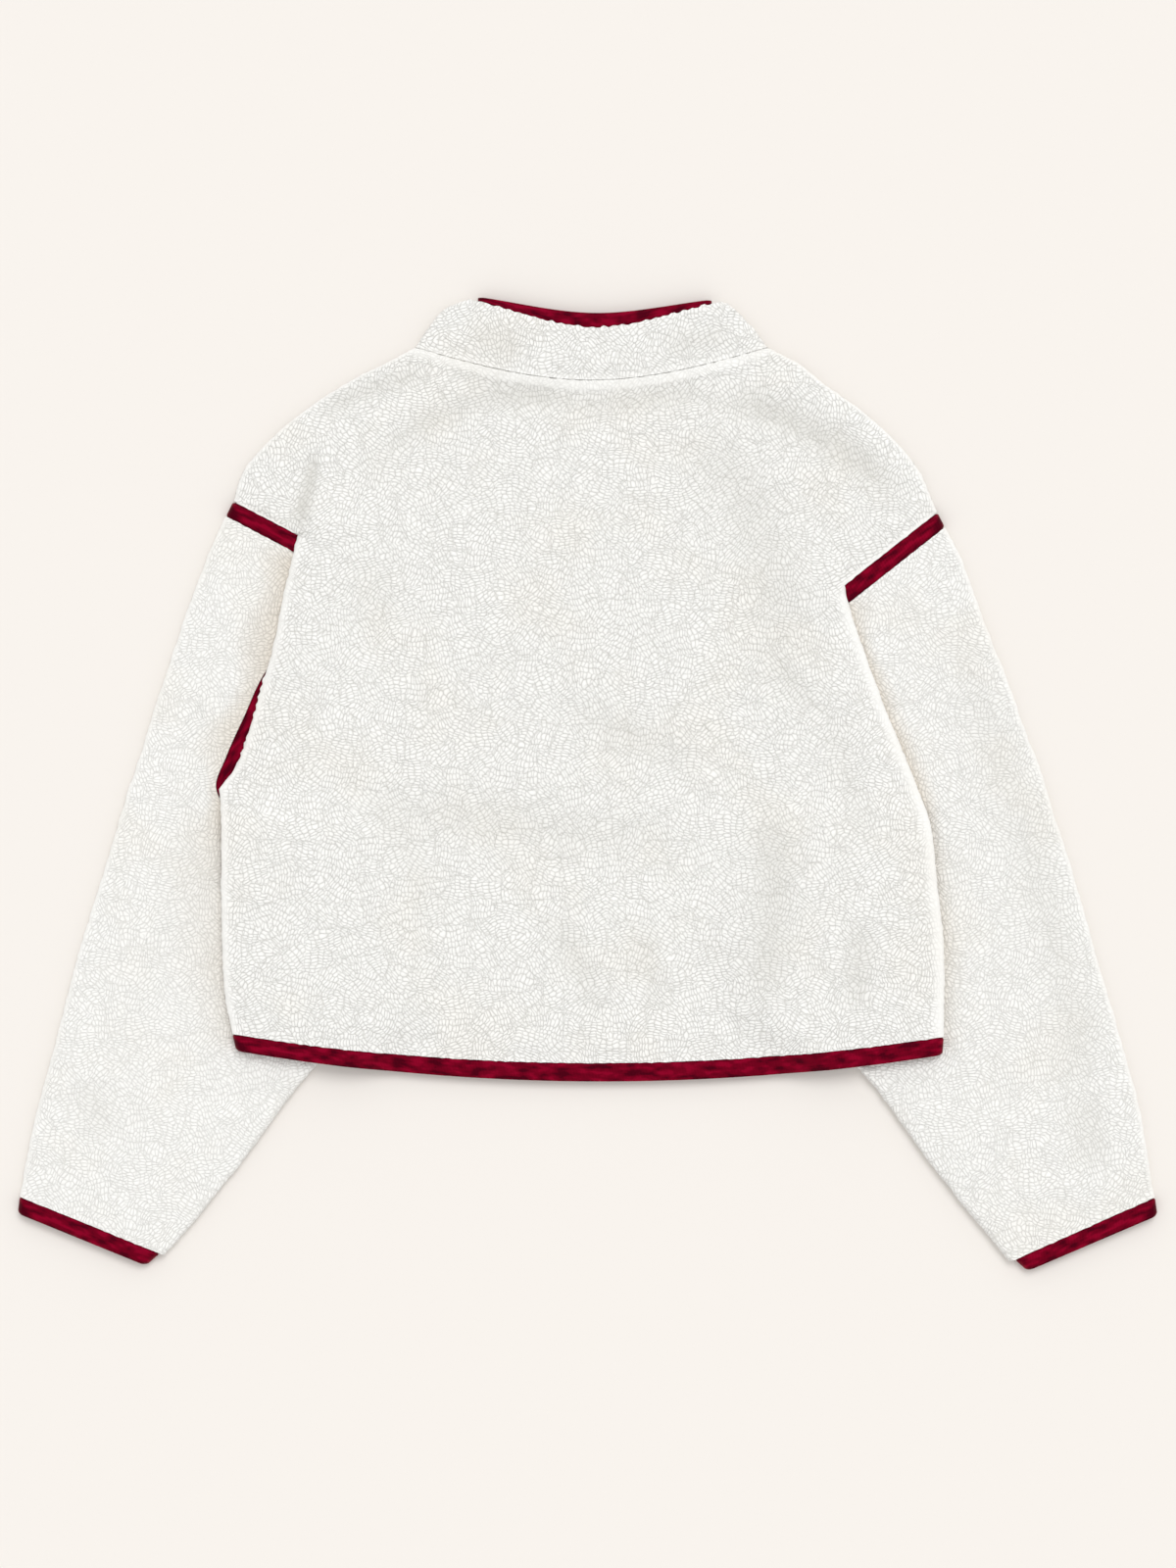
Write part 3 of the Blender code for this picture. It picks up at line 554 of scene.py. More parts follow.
def over_sleeve(x, y, side):
    """1 where the body lies over a sleeve, and 0 past where it has come down to the floor."""
    table = np.array(REACH[side][::-1], float)
    reach = np.interp(y, table[:, 0], table[:, 1])
    inward = x - reach if side == "left" else reach - x
    return 1.0 - smooth(inward / SETTLE)


def on_sleeve(y):
    return smooth((TUBE_TOP - y) / (TUBE_TOP - TUBE_FULL))


def front_lift(x, y):
    """Height of the front's underside."""
    return ON_SLEEVE * on_sleeve(y) * (over_sleeve(x, y, "left") + over_sleeve(x, y, "right"))


def front_base(x, y, run):
    return front_lift(x, y)


def back_lift(x, y):
    """How much higher the back lies than on the floor alone."""
    total = np.zeros_like(x)
    for side, outward in (("left", -1.0), ("right", 1.0)):
        start, full = LIP_FADE[side]
        lip = LIP * smooth((start - y) / (start - full))
        corner_x, corner_y = EDGES[side]["fold"][0]
        step = 1.0 - smooth(((x - corner_x) * outward + LIP_IN) / (LIP_IN + LIP_OUT))
        step = np.where(y > corner_y + SEAM, step, 1.0)
        height = lip + (ON_SLEEVE - LIP) * on_sleeve(y)
        total += height * step * over_sleeve(x, y, side)
    return total


print("back over the right sleeve", back_lift(np.array([240.0]), np.array([-120.0])).round(1), "mm")

# %% [markdown]
# ## Sections of cloth
#
# The flat cloth is a grid, and laying it out means finding a new place for each of its points. One
# row of the grid is one section through the cloth: it follows a path in plan, rolls down through a
# quarter of a circle at a folded end, or stops square at a seam. Beside each place goes its `cut`,
# the spot in the flat cloth before it was laid out. The fleece's pattern is drawn on the cut, so it
# rolls over an edge with the cloth and doesn't smear.

# %% One section of one layer
ARC_STEPS = 5                          # steps round a rolled edge


def turned(turn, radius, wall, steps):
    """Steps from an edge inward, as (in, down, cut) of the outer and (in, down) of the inner face.

    A turn of 1 rolls the cloth through a quarter of a circle, and a turn of 0 leaves it flat.
    """
    angle = np.linspace(math.pi / 2, 0.0, steps + 1)
    flat = radius * np.linspace(0.0, 1.0, steps + 1)
    inside = radius - wall
    outer = ((1 - turn) * flat + turn * radius * (1 - np.sin(angle)), turn * radius * (1 - np.cos(angle)),
             (1 - turn) * (radius - flat) + turn * radius * angle)
    inner = ((1 - turn) * flat + turn * (radius - inside * np.sin(angle)),
             (1 - turn) * wall + turn * (radius - inside * np.cos(angle)))
    return outer, inner


def end_ways(path):
    """The directions from each end of a path inward."""
    return unit(path[1] - path[0]), unit(path[-2] - path[-1])


def section(path, ends, wall, height, up=1, fold_ways=None, steps=ARC_STEPS, side="outer"):
    """Points and cut of one face of a layer of cloth over a path in plan.

    height(x, y, run) is the outer face, with run the distance from the nearer end. up is 1 for a
    layer that looks up and -1 for one that looks down. ends holds (turn, radius) at each end.
    """
    ways = end_ways(path)
    fold_ways = fold_ways or ways
    lengths = np.linalg.norm(np.diff(path, axis=0), axis=1)
    run = np.cumsum(lengths)[:-1]
    middle_run = np.minimum(run, lengths.sum() - run)
    starts, stops = turned(*ends[0], wall, steps), turned(*ends[1], wall, steps)
    which, sunk = (0, 0.0) if side == "outer" else (1, wall)
    start, stop = starts[which], stops[which]
    plan = np.vstack([path[0] + start[0][:, None] * ways[0], path[1:-1],
                      path[-1] + stop[0][::-1, None] * ways[1]])
    plan[0] = path[0] + start[0][0] * fold_ways[0]
    plan[-1] = path[-1] + stop[0][0] * fold_ways[1]
    down = np.concatenate([start[1], np.full(len(path) - 2, sunk), stop[1][::-1]])
    run = np.concatenate([start[0] - start[0][0], middle_run, stop[0][::-1] - stop[0][0]])
    points = np.column_stack([plan, height(plan[:, 0], plan[:, 1], run) - up * down])
    cut = plan.copy()
    if side == "outer":
        near, far = path[0] + ends[0][1] * ways[0], path[-1] + ends[1][1] * ways[1]
        cut[:steps + 1] = near - start[2][:, None] * ways[0]
        cut[-steps - 1:] = far - stop[2][::-1, None] * ways[1]
    return points, cut


def level(height):
    return lambda x, y, run: np.full_like(x, height)


def ring(upper_path, lower_path, ends, ply, wall, upper_height, lower_height, side="outer", steps=ARC_STEPS):
    """Points and cut round a flattened tube: the upper layer out and the lower layer back."""
    upper_ways, lower_ways = end_ways(upper_path), end_ways(lower_path)
    near, far = unit(upper_ways[0] + lower_ways[1]), unit(upper_ways[1] + lower_ways[0])
    sewn = ends[0][0] < 1.0
    upper_fold = (upper_ways[0] if sewn else near, far)
    lower_fold = (far, lower_ways[1] if sewn else near)
    upper, upper_cut = section(upper_path, ends, wall, lambda x, y, run: ply + upper_height(x, y, run),
                               1, upper_fold, steps, side)
    lower, lower_cut = section(lower_path, ends[::-1], wall, lower_height, -1, lower_fold, steps, side)
    return np.vstack([upper, lower]), np.vstack([upper_cut, lower_cut])


print("a rolled edge goes", turned(1.0, FOLD, WALL, 3)[0][2].round(1).tolist(), "mm round")

# %% [markdown]
# ## Laying a grid of cloth
#
# Every piece starts as Blender's own flat grid. Its points are moved to their places row by row,
# and its UV map is set to the cut, in metres. Then it is finished in edit mode, as by hand: the
# points that came together where a tube closes are merged, holes at the ends are filled, and the
# normals are made to point outwards. The marks that the fleece's colours read, such as where the
# pile is combed flat and painted lighter, or where shade is painted, go to the points as attributes.

# %% Grid, lay and close


def flat_grid(name, rows, columns):
    """A flat grid of the cloth, with this many points each way."""
    bpy.ops.object.select_all(action="DESELECT")
    bpy.ops.mesh.primitive_grid_add(x_subdivisions=columns - 1, y_subdivisions=rows - 1, size=1.0)
    piece = bpy.context.object
    piece.name = piece.data.name = name
    piece.data.uv_layers[0].name = "cut"
    return piece


def lay(name, places, cuts, marks):
    """Lays a flat grid out on places[row, column], with the cut as its UV map and each mark on it."""
    piece = flat_grid(name, *places.shape[:2])
    mesh = piece.data
    for mark, value in marks.items():
        mesh.attributes.new(mark, "FLOAT", "POINT").data.foreach_set("value", value.reshape(-1))
    mesh.vertices.foreach_set("co", (places * MM).reshape(-1))
    corner = np.empty(len(mesh.loops), dtype=np.int32)
    mesh.loops.foreach_get("vertex_index", corner)
    mesh.uv_layers["cut"].data.foreach_set("uv", (cuts * MM).reshape(-1, 2)[corner].reshape(-1))
    mesh.update()
    return piece


def close(piece, sharp=50.0):
    """Merges the doubles, fills what is open, turns the faces outwards and gives the finish."""
    bpy.ops.object.select_all(action="DESELECT")
    piece.select_set(True)
    bpy.context.view_layer.objects.active = piece
    bpy.ops.object.mode_set(mode="EDIT")
    bpy.ops.mesh.select_all(action="SELECT")
    bpy.ops.mesh.remove_doubles(threshold=0.00001)
    bpy.ops.mesh.fill_holes(sides=0)
    bpy.ops.mesh.select_all(action="SELECT")
    bpy.ops.mesh.normals_make_consistent(inside=False)
    bpy.ops.object.mode_set(mode="OBJECT")
    bpy.ops.object.shade_smooth_by_angle(angle=math.radians(sharp))
    piece.select_set(False)
    mesh = piece.data
    mesh.materials.append(TAPE_KNIT if "tape" in piece.name else FLEECE)
    mesh.calc_loop_triangles()
    print(f"{piece.name}: {len(mesh.loop_triangles)} triangles")
    return piece


def normals(places):
    """Outward normals of a grid of places, also where a row comes round to its own start."""
    along_row = np.gradient(places, axis=1)
    down_rows = np.gradient(places, axis=0)
    closed = np.linalg.norm(places[:, 0] - places[:, -1], axis=1) < 0.001
    for table, round_it in ((along_row, (places[:, 1] - places[:, -2]) / 2),
                            (down_rows, (down_rows[:, 0] + down_rows[:, -1]) / 2)):
        table[closed, 0] = table[closed, -1] = round_it[closed]
    normal = np.cross(down_rows, along_row)
    return normal / np.maximum(np.linalg.norm(normal, axis=2, keepdims=True), 1e-9)


# %% [markdown]
# ## Pile
#
# The pile lifts the cloth unevenly: small curls, lumps of a few curls, and slow swells where the
# knit ground itself isn't flat. At a seam it is drawn down and lies smooth. Along the tape it leans
# out over the tape's edge, and above the collar's tape it does so raggedly. Where the cloth is
# folded, the pile is combed flat round the fold, and painted lighter there as painted light.

# %% Relief of the pile
CURL, LUMP, SWELL = 0.30, 0.30, 0.25   # heights in millimetres
# How far the pile leans over an edge, and how much more where a curl is there
LEAN_CLEAN, LEAN_RAGGED, LEAN_SLIVER = (0.05, 0.35), (0.5, 1.2), (0.2, 1.0)
LEAN_RUN, LEAN_ROWS = 4.0, 8           # the strip beside the edge that leans, and its rows of the grid
DRAWN_DOWN, DRAWN_RUN = 0.5, 2.0       # how far a seam draws the cloth down, and over what run
SEAM_CLOSED = 0.03                     # the pile closes a seam between fleece and fleece to this
NO_SEAM = 99.0                         # farther than any seam or edge is felt


def free(places):
    """0 where the cloth lies on the floor, 1 from the middle of a fold upwards."""
    return smooth(places[..., 2] / FOLD)


def relief(places, cut, from_seam):
    """A grid of places with its pile standing proud, except where it is pressed on the floor.

    from_seam is how far each place is from the nearest seam, which draws the cloth down.
    """
    standing = smooth(from_seam / (2 * DRAWN_RUN))
    height = (CURL * curls(cut) + LUMP * lumps(cut) + SWELL * swells(cut)) * standing
    drawn = DRAWN_DOWN * np.clip(0.8 + 0.6 * curls(cut), 0.2, 1.4)
    height = height - drawn * np.maximum(1.0 - from_seam / DRAWN_RUN, 0.0) ** 2
    return places + normals(places) * (free(places) * height)[..., None]


def round_the_fold(distance, width):
    """1 at a fold and 0 past the strip beside it where the pile is combed flat and painted lighter."""
    return 1.0 - smooth((distance - width / 3) / (width * 2 / 3))


def lean(places, cut, distance, way, how=LEAN_CLEAN):
    """Places with the pile near an edge leaning over it; distance is how far in each of them is."""
    out = (how[0] + how[1] * curls(cut)) * (1.0 - smooth(distance / LEAN_RUN)) * free(places)
    return places + np.asarray(way) * np.maximum(out, 0.0)[..., None]


print("pile leans out up to", sum(LEAN_RAGGED), "mm")

# %% [markdown]
# ## The back
#
# The back is one piece of fleece, sewn to the front along the shoulders and the sides. It is a
# loft: each row runs from the left edge to the right edge and hangs a little in the middle. The
# outer face is fine, because it is what shows. The inner face returns under it in a few long
# faces, so that the cloth is a real wall and not a film.

# %% Rows of the body
BODY_COLUMNS, INNER_COLUMNS = 296, 24
SHOULDER_ROWS, ARMHOLE_ROWS, FOLD_ROWS, SIDE_ROWS = 72, 24, 100, 100
BLEND = 5.0                            # the run over which a rolled edge flattens into a seam


def hang(across, swoop):
    """How much of its dip a row has at each place across; a swoop flattens its middle and its ends."""
    from_middle = np.abs(2.0 * across - 1.0)
    square = from_middle ** 2
    return 1.0 - square - swoop * (smooth(from_middle) - square) / 2.0


def row_path(left, right, dip, columns, inset, swoop=0.0):
    """A path in plan from one edge to the other, hanging in the middle, with even columns."""
    middle = np.linspace(left[0] + inset[0], right[0] - inset[1], columns + 1)[1:-1]
    x = np.concatenate([[left[0]], middle, [right[0]]])
    across = (x - left[0]) / (right[0] - left[0])
    y = left[1] + (right[1] - left[1]) * across - dip * hang(across, swoop)
    return np.column_stack([x, y])


def back_edge(side):
    """Places down one edge of the back, with the turn and radius of the cloth's edge at each."""
    edge = EDGES[side]
    tip, corner = np.array(edge["armhole"], float)
    shoulder = along(edge["shoulder"], np.linspace(0, 1, SHOULDER_ROWS + 1))
    seam = np.linspace(tip, corner, ARMHOLE_ROWS + 1)[1:-1]
    fold = along(edge["fold"], np.linspace(0, 1, FOLD_ROWS + 1))
    below = along(edge["side"], np.linspace(0, 1, SIDE_ROWS + 1))[1:]
    from_ends = np.minimum(np.linalg.norm(seam - tip, axis=1), np.linalg.norm(seam - corner, axis=1))
    turn = np.concatenate([np.ones(len(shoulder)), 1.0 - smooth(from_ends / BLEND),
                           np.ones(len(fold) + len(below))])
    radius = np.concatenate([np.full(len(shoulder) + len(seam), RIM), np.full(len(fold), LIP_ROUND),
                             LIP_ROUND + (RIM - LIP_ROUND) * on_sleeve(below[:, 1])])
    return np.column_stack([np.vstack([shoulder, seam, fold, below]), turn, radius])


def row_dips(left, right):
    """How far each row's middle hangs, from the neck's to the hem's, and its swoop."""
    height = (left[:, 1] + right[:, 1]) / 2
    share = (height[0] - height) / (height[0] - height[-1])
    swoop = NECK_SWOOP * (1.0 - smooth(share / SWOOP_RUN))
    return np.column_stack([NECK_DIP + (HEM_DIP - NECK_DIP) * share, swoop])


def panel(name, outer, cuts, inner, marks):
    """A wall of cloth: the outer face's rows, and the inner face's rows back under them."""
    places = np.concatenate([outer, inner[:, ::-1], outer[:, :1]], axis=1)
    cut = np.concatenate([cuts, inner[:, ::-1, :2], cuts[:, :1]], axis=1)
    marks = {mark: np.concatenate([value, np.zeros(inner.shape[:2]), value[:, :1]], axis=1)
             for mark, value in marks.items()}
    return close(lay(name, places, cut, marks))


print("a row hangs by", hang(np.linspace(0, 0.5, 5), 0.0).round(2).tolist(), "of its dip to its middle")

# %% [markdown]
# ## Laying the back
#
# The back swells a little from its edges to its crown. Along the neck seam the cloth under it makes
# a low welt, and by the seam itself a narrow groove. The pile is combed flat on the welt and round
# the rolled edges, more widely below the armholes, where the cloth folds over more loosely. Round
# the rolled edges it is also painted lighter, as painted light where the fold turns from the sun.

# %% Shape of the back
WELT, WELT_WIDTH, GROOVE_WIDTH = 1.0, 7.0, 1.5
left, right = back_edge("left"), back_edge("right")
outer_rows, inner_rows = [], []
for a, b, (dip, swoop) in zip(left, right, row_dips(left, right)):
    below_neck = (left[0, 1] + right[0, 1] - a[1] - b[1]) / 2 - dip + NECK_DIP
    above_hem = (a[1] + b[1] - left[-1, 1] - right[-1, 1]) / 2
    row_rise = smooth(below_neck / CROWN_RUN) * smooth(above_hem / CROWN_RUN)
    welt = WELT * smooth(below_neck / GROOVE_WIDTH) * smooth((WELT_WIDTH + 2 - below_neck) / 2)

    def height(x, y, run):
        rise = row_rise * smooth(run / CROWN_RUN)
        loft = (CROWN + np.maximum(creases(x, y, BODY_CREASES), DEEPEST)) * rise
        return PLY + back_lift(x, y) + loft + welt * smooth(run / CROWN_RUN)

    fine = row_path(a, b, dip, BODY_COLUMNS, (a[3], b[3]), swoop)
    coarse = row_path(a, b, dip, INNER_COLUMNS, (a[3], b[3]), swoop)
    outer_rows.append(section(fine, (a[2:], b[2:]), WALL, height))
    inner_rows.append(section(coarse, (a[2:], b[2:]), WALL, height, steps=2, side="inner")[0])
outer, cuts = (np.array(part) for part in zip(*outer_rows))
from_neck = np.cumsum(np.linalg.norm(np.diff(cuts, axis=0, prepend=cuts[:1]), axis=2), axis=0)
outer = relief(outer, cuts, from_neck)
print("the back's outer face has", outer.shape[0], "rows of", outer.shape[1])

# %% Pile of the back
COMBED_LIT_ABOVE = 7.0                     # the strip beside the edge that is combed flat and painted lighter, above the armhole
COMBED_LIT_BELOW = {"left": 10.0, "right": 14.0}
CORNER_ROW = SHOULDER_ROWS + ARMHOLE_ROWS
COMBED_CHANGE = 6                      # rows from the one width to the other
WELT_COMBED = 0.6
SLIVER_FROM = 40                       # rows below the corner, where tape shows beside the left fold
SLIVER_FADE = 0.2                      # the share of it over which its ragged edge fades at each end
combed_and_lit = np.zeros(outer.shape[:2])
below_corner = smooth((np.arange(len(cuts))[:, None] - CORNER_ROW) / COMBED_CHANGE)
for end, side in ((0, "left"), (-1, "right")):
    # Round the edges the pile is combed flat and painted lighter, as painted light on the folds.
    run = np.linalg.norm(cuts - cuts[:, [end]], axis=2)
    combed_and_lit += round_the_fold(run, COMBED_LIT_ABOVE) * (1 - below_corner)
    combed_and_lit += round_the_fold(run, COMBED_LIT_BELOW[side]) * below_corner
combed_and_lit = np.maximum(combed_and_lit, WELT_COMBED * smooth((WELT_WIDTH + 3 - from_neck) / 3))
for end, edge, outward in ((0, left, -1.0), (-1, right, 1.0)):
    seam = slice(SHOULDER_ROWS + 1, CORNER_ROW)
    straight = unit(edge[seam][-1, :2] - edge[seam][0, :2])
    way = np.array([-straight[1] * outward, straight[0] * outward, 0.0])
    run = np.abs(cuts[seam, :, 0] - cuts[seam, end, 0][:, None])
    outer[seam] = lean(outer[seam], cuts[seam], run, -way if way[1] > 0 else way)
shows = slice(CORNER_ROW + SLIVER_FROM, CORNER_ROW + FOLD_ROWS)
ends = np.linspace(0, 1, shows.stop - shows.start)
fade = NO_SEAM * (1 - smooth(np.minimum(ends, 1 - ends) / SLIVER_FADE))
run = np.abs(cuts[shows, :, 0] - cuts[shows, :1, 0]) + fade[:, None]
outer[shows] = lean(outer[shows], cuts[shows], run, (-1, 0, 0), LEAN_SLIVER)
hem = slice(-LEAN_ROWS, None)
outer[hem] = lean(outer[hem], cuts[hem], np.abs(cuts[hem, :, 1] - cuts[-1:, :, 1]), (0, -1, 0))
back = panel("back_panel_cloth", outer, cuts, np.array(inner_rows),
             {"combed_and_lit": combed_and_lit, "trough_shade": trough_shade(outer, BODY_CREASES)})
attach(back, "root")
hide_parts("back_panel")

# %% [markdown]
# ## The armhole seam
#
# The seam runs from the shoulder tip to the underarm twice, along the back and along the front,
# and the tape lies over it. Four rails on each follow it: the body's edge, the tape's two edges
# and the sleeve's edge. The first stretch is straight, because it is where the seam shows between
# the shoulder tip and the body's fold.

# %% Rails along the armhole


def armhole_rails(side):
    table = np.array(ARMHOLE[side], float)
    turn = 1.0 if side == "left" else -1.0
    tip, corner = np.array(EDGES[side]["armhole"], float)
    tip_sleeve = table[0, :2]
    under = unit(UNDERARM_ACROSS[side])
    straight = unit(corner - tip)
    across_corner = np.array([-straight[1], straight[0]]) * turn
    rails = {}
    for name, middle in (("back", table[:, 2:4].copy()), ("front", table[:, 4:6])):
        if name == "back":
            middle[0] = corner - across_corner * (SEAM + TAPE / 2)
        line = np.vstack([(tip + tip_sleeve) / 2, middle])
        way = np.gradient(line, axis=0)
        across = np.column_stack([-way[:, 1], way[:, 0]]) * turn
        across /= np.linalg.norm(across, axis=1)[:, None]
        across[0] = unit(tip - tip_sleeve)
        across[-1] = under
        if name == "back":
            across[1] = across_corner
        for rail, shift in (("body", TAPE / 2 + SEAM), ("tape_body", TAPE / 2),
                            ("tape_sleeve", -TAPE / 2), ("sleeve", -TAPE / 2 - SEAM)):
            rails[f"{name}_{rail}"] = line + across * shift
            if rail in ("body", "tape_body"):
                rails[f"{name}_{rail}"][0] = tip - across[0] * (TAPE / 2 + SEAM - shift)
            else:
                rails[f"{name}_{rail}"][0] = tip_sleeve + across[0] * (shift + TAPE / 2)
        rails[f"{name}_sleeve"][-1] -= under * UNDERARM_CLEAR
    return rails


def rail_line(rail, steps):
    """A rail with its first stretch straight and the rest a smooth curve."""
    first = np.linspace(rail[0], rail[1], steps + 1)[:-1]
    rest = curve(rail[1:], np.linspace(0, len(rail) - 2, steps * (len(rail) - 2) + 1))
    return np.vstack([first, rest])


RAILS = {side: armhole_rails(side) for side in ("left", "right")}
for side, rails in RAILS.items():
    shown = np.linalg.norm(rails["back_tape_body"][1] - rails["back_tape_body"][0])
    print(side, "band shows for", shown.round(1), "mm")

# %% [markdown]
# ## The front
#
# The front lies under the back, on the floor and on the sleeves. Only its rolled edges show, from
# the side, so its grid is coarser. Its underside is flat where it rests.

# %% Lay the front
FRONT_COLUMNS = 130
FRONT_SHOULDER, FRONT_ARMHOLE, FRONT_CORNERS, FRONT_SIDE = 36, 64, 16, 30
SHOULDER_END = 0.975                   # the shoulder's share that is clear of the tape


def front_edge(side):
    """Places down one edge of the front, with the turn and radius of the cloth's edge at each."""
    edge, seam = EDGES[side], RAILS[side]["front_body"][1:]
    shoulder = along(edge["shoulder"], np.linspace(0, SHOULDER_END, FRONT_SHOULDER))
    armhole = curve(seam, np.linspace(0, len(seam) - 1, FRONT_ARMHOLE))
    corner = np.array(FRONT_CORNER[side], float)
    corners = np.vstack([np.linspace(corner[0], corner[1], FRONT_CORNERS // 2 + 1)[:-1],
                         np.linspace(corner[1], corner[2], FRONT_CORNERS // 2 + 1)[:-1]])
    down = along(edge["side"], np.linspace(0, 1, 100))
    side_y = np.linspace(corner[2, 1], down[-1, 1], FRONT_SIDE)
    below = np.column_stack([np.interp(-side_y, -down[:, 1], down[:, 0]), side_y])
    below[0] = corner[2]
    turn = np.concatenate([np.ones(len(shoulder)), np.zeros(len(armhole) + len(corners)),
                           np.ones(len(below))])
    places = np.vstack([shoulder, armhole, corners, below])
    return np.column_stack([places, turn, np.full(len(places), RIM)])


left, right = front_edge("left"), front_edge("right")
outer_rows, inner_rows = [], []
for a, b, (dip, swoop) in zip(left, right, row_dips(left, right)):
    fine = row_path(a, b, dip, FRONT_COLUMNS, (a[3], b[3]), swoop)
    coarse = row_path(a, b, dip, INNER_COLUMNS, (a[3], b[3]), swoop)
    outer_rows.append(section(fine, (a[2:], b[2:]), WALL, front_base, up=-1))
    inner_rows.append(section(coarse, (a[2:], b[2:]), WALL, front_base, up=-1, steps=2, side="inner")[0])
outer, cuts = (np.array(part) for part in zip(*outer_rows))
front = panel("front_panel_cloth", outer, cuts, np.array(inner_rows), {})
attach(front, "root")
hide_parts("front_panel")

# %% [markdown]
# ## Tubes
#
# A sleeve, the collar and every tape is a tube pressed flat. Its grid goes round in columns and
# along in rows, over the outside, back through the inside and up to the first row again, so it
# closes by itself. Where a sleeve is still open at the armhole, one more column at each end covers
# the cut edge of the cloth.

# %% Close a tube


def even_path(line, columns, inset):
    """An even path along a line in plan, its first and last columns clear of the rolled ends."""
    run = np.concatenate([[0.0], np.cumsum(np.linalg.norm(np.diff(line, axis=0), axis=1))])
    inside = np.linspace(inset, run[-1] - inset, columns + 1)[1:-1]
    middle = np.stack([np.interp(inside, run, axis) for axis in line.T], axis=1)
    return np.vstack([line[0], middle, line[-1]])


def with_edges(rows, edge_rows):
    """The same rows with one more place at each end."""
    return np.concatenate([edge_rows[:, :1], rows, edge_rows[:, -1:]], axis=1)


def tube(name, outer, cuts, inner, marks):
    """A tube's wall, from the outside's rows and the inside's rows, the same round in each."""
    places = np.concatenate([outer, inner[::-1], outer[:1]])
    marks = {mark: np.concatenate([value, np.zeros(inner.shape[:2]), value[:1]])
             for mark, value in marks.items()}
    return close(lay(name, places, np.concatenate([cuts, inner[::-1, :, :2], cuts[:1]]), marks))


print("even path:", even_path(np.array([[0.0, 0.0], [10.0, 0.0]]), 4, 2.0)[:, 0].tolist())

# %% [markdown]
# ## The sleeves
#
# Each sleeve is one piece of fleece, folded along its outer edge and sewn along its inner one. Down
# to the underarm its rows run from the armhole seam to the outer fold, and past it from fold to
# fold. It stays flat where the body lies on it, and stands a little off the floor beside it.

# %% Loft and shade of a sleeve
SHADE_RUN = {"left": 38.0, "right": 14.0}  # how far a sleeve lies in the shade of the body
SHADE_ENDS = 20.0                      # the run over which the shade starts and ends along the body
SHADE_LOSS, LOSS_RUN = 0.45, 60.0      # it is weaker below the underarm, where the body lies lower
SLEEVE_DEEPEST = 0.8 * DEEPEST


def body_edge(side, *parts):
    """Places down these parts of the body's edge."""
    return np.vstack([along(EDGES[side][part], np.linspace(0, 1, 30)) for part in parts])


def out_from(edge, x, y, side):
    """How far out a place lies from that edge."""
    edge_x = np.interp(y, edge[::-1, 1], edge[::-1, 0])
    return edge_x - x if side == "left" else x - edge_x


def sleeve_loft(side):
    """How much a sleeve's upper layer stands off its lower one, clear of the body that lies on it."""
    edge = body_edge(side, "armhole", "fold", "side")

    def height(x, y, run):
        beside = smooth((out_from(edge, x, y, side) - BODY_CLEAR) / CROWN_RUN)
        below = smooth((HEM_TAPE[1] - BODY_CLEAR - y) / CROWN_RUN)
        loft = SLEEVE_CROWN + np.maximum(creases(x, y, SLEEVE_CREASES), SLEEVE_DEEPEST)
        return loft * smooth(run / CROWN_RUN) * np.maximum(beside, below)

    return height


def beside_body(places, side):
    """1 on a sleeve right beside the body's fold, fading out over the strip that lies in its shade."""
    edge = body_edge(side, "fold", "side")
    x, y = places[..., 0], places[..., 1]
    starts, stops = smooth((edge[0, 1] - y) / SHADE_ENDS), smooth((y - edge[-1, 1]) / SHADE_ENDS + 1.0)
    strength = (places[..., 2] > FOLD) * starts * stops * (1.0 - SHADE_LOSS * smooth(-y / LOSS_RUN))
    uneven = 1.0 + 0.5 * swells(places[..., :2])
    clear = out_from(edge, x, y, side)
    return strength * np.clip(1.0 - clear / (SHADE_RUN[side] * uneven), 0.0, 1.0) ** 1.5


print("left sleeve's loft by the elbow", sleeve_loft("left")(-350.0, -150.0, 40.0).round(2), "mm")

# %% Rows of a sleeve
SLEEVE_UPPER, SLEEVE_LOWER = 84, 22
TOP_ROWS, ARM_ROWS, INNER_ROWS = 124, 184, 12


def even_places(lines, count):
    """Places in table rows that lie evenly along several lines taken together."""
    step = np.mean([np.linalg.norm(np.diff(line, axis=0), axis=1) for line in lines], axis=0)
    run = np.concatenate([[0.0], np.cumsum(step)])
    return np.interp(np.linspace(0, run[-1], count), run, np.arange(len(run)))


def sleeve_rows(side):
    """Rows of (outer fold, back seam, front seam, turn of the sewn edge)."""
    rails = RAILS[side]
    outer = np.array(ARMHOLE[side], float)[:, :2]
    outer[0] = rails["back_sleeve"][0]
    back, front = rails["back_sleeve"][1:], rails["front_sleeve"][1:]
    places = even_places([outer, back], TOP_ROWS)[:-1]
    rows = [(*row, 0.0) for row in zip(curve(outer, places), curve(back, places), curve(front, places))]
    arm = np.array(SLEEVE[side], float)
    arm[0, 2:] = back[-1]
    places = even_places([arm[:, :2], arm[:, 2:]], ARM_ROWS)
    outer, inner = curve(arm[:, :2], places), curve(arm[:, 2:], places)
    return rows + [(o, i, i, 1.0) for o, i in zip(outer, inner)]


print("rows of a sleeve:", len(sleeve_rows("left")))

# %% Lay the sleeves
RISE_ROWS = 36                         # rows from each end over which a sleeve rises to its crown
SLEEVE_FOLD_COMBED_LIT = 8.0               # the strip by its outer fold that is combed flat and painted lighter
SLEEVE_COMBED = {"left": 0.2, "right": 0.12}  # and how much of it is combed all over


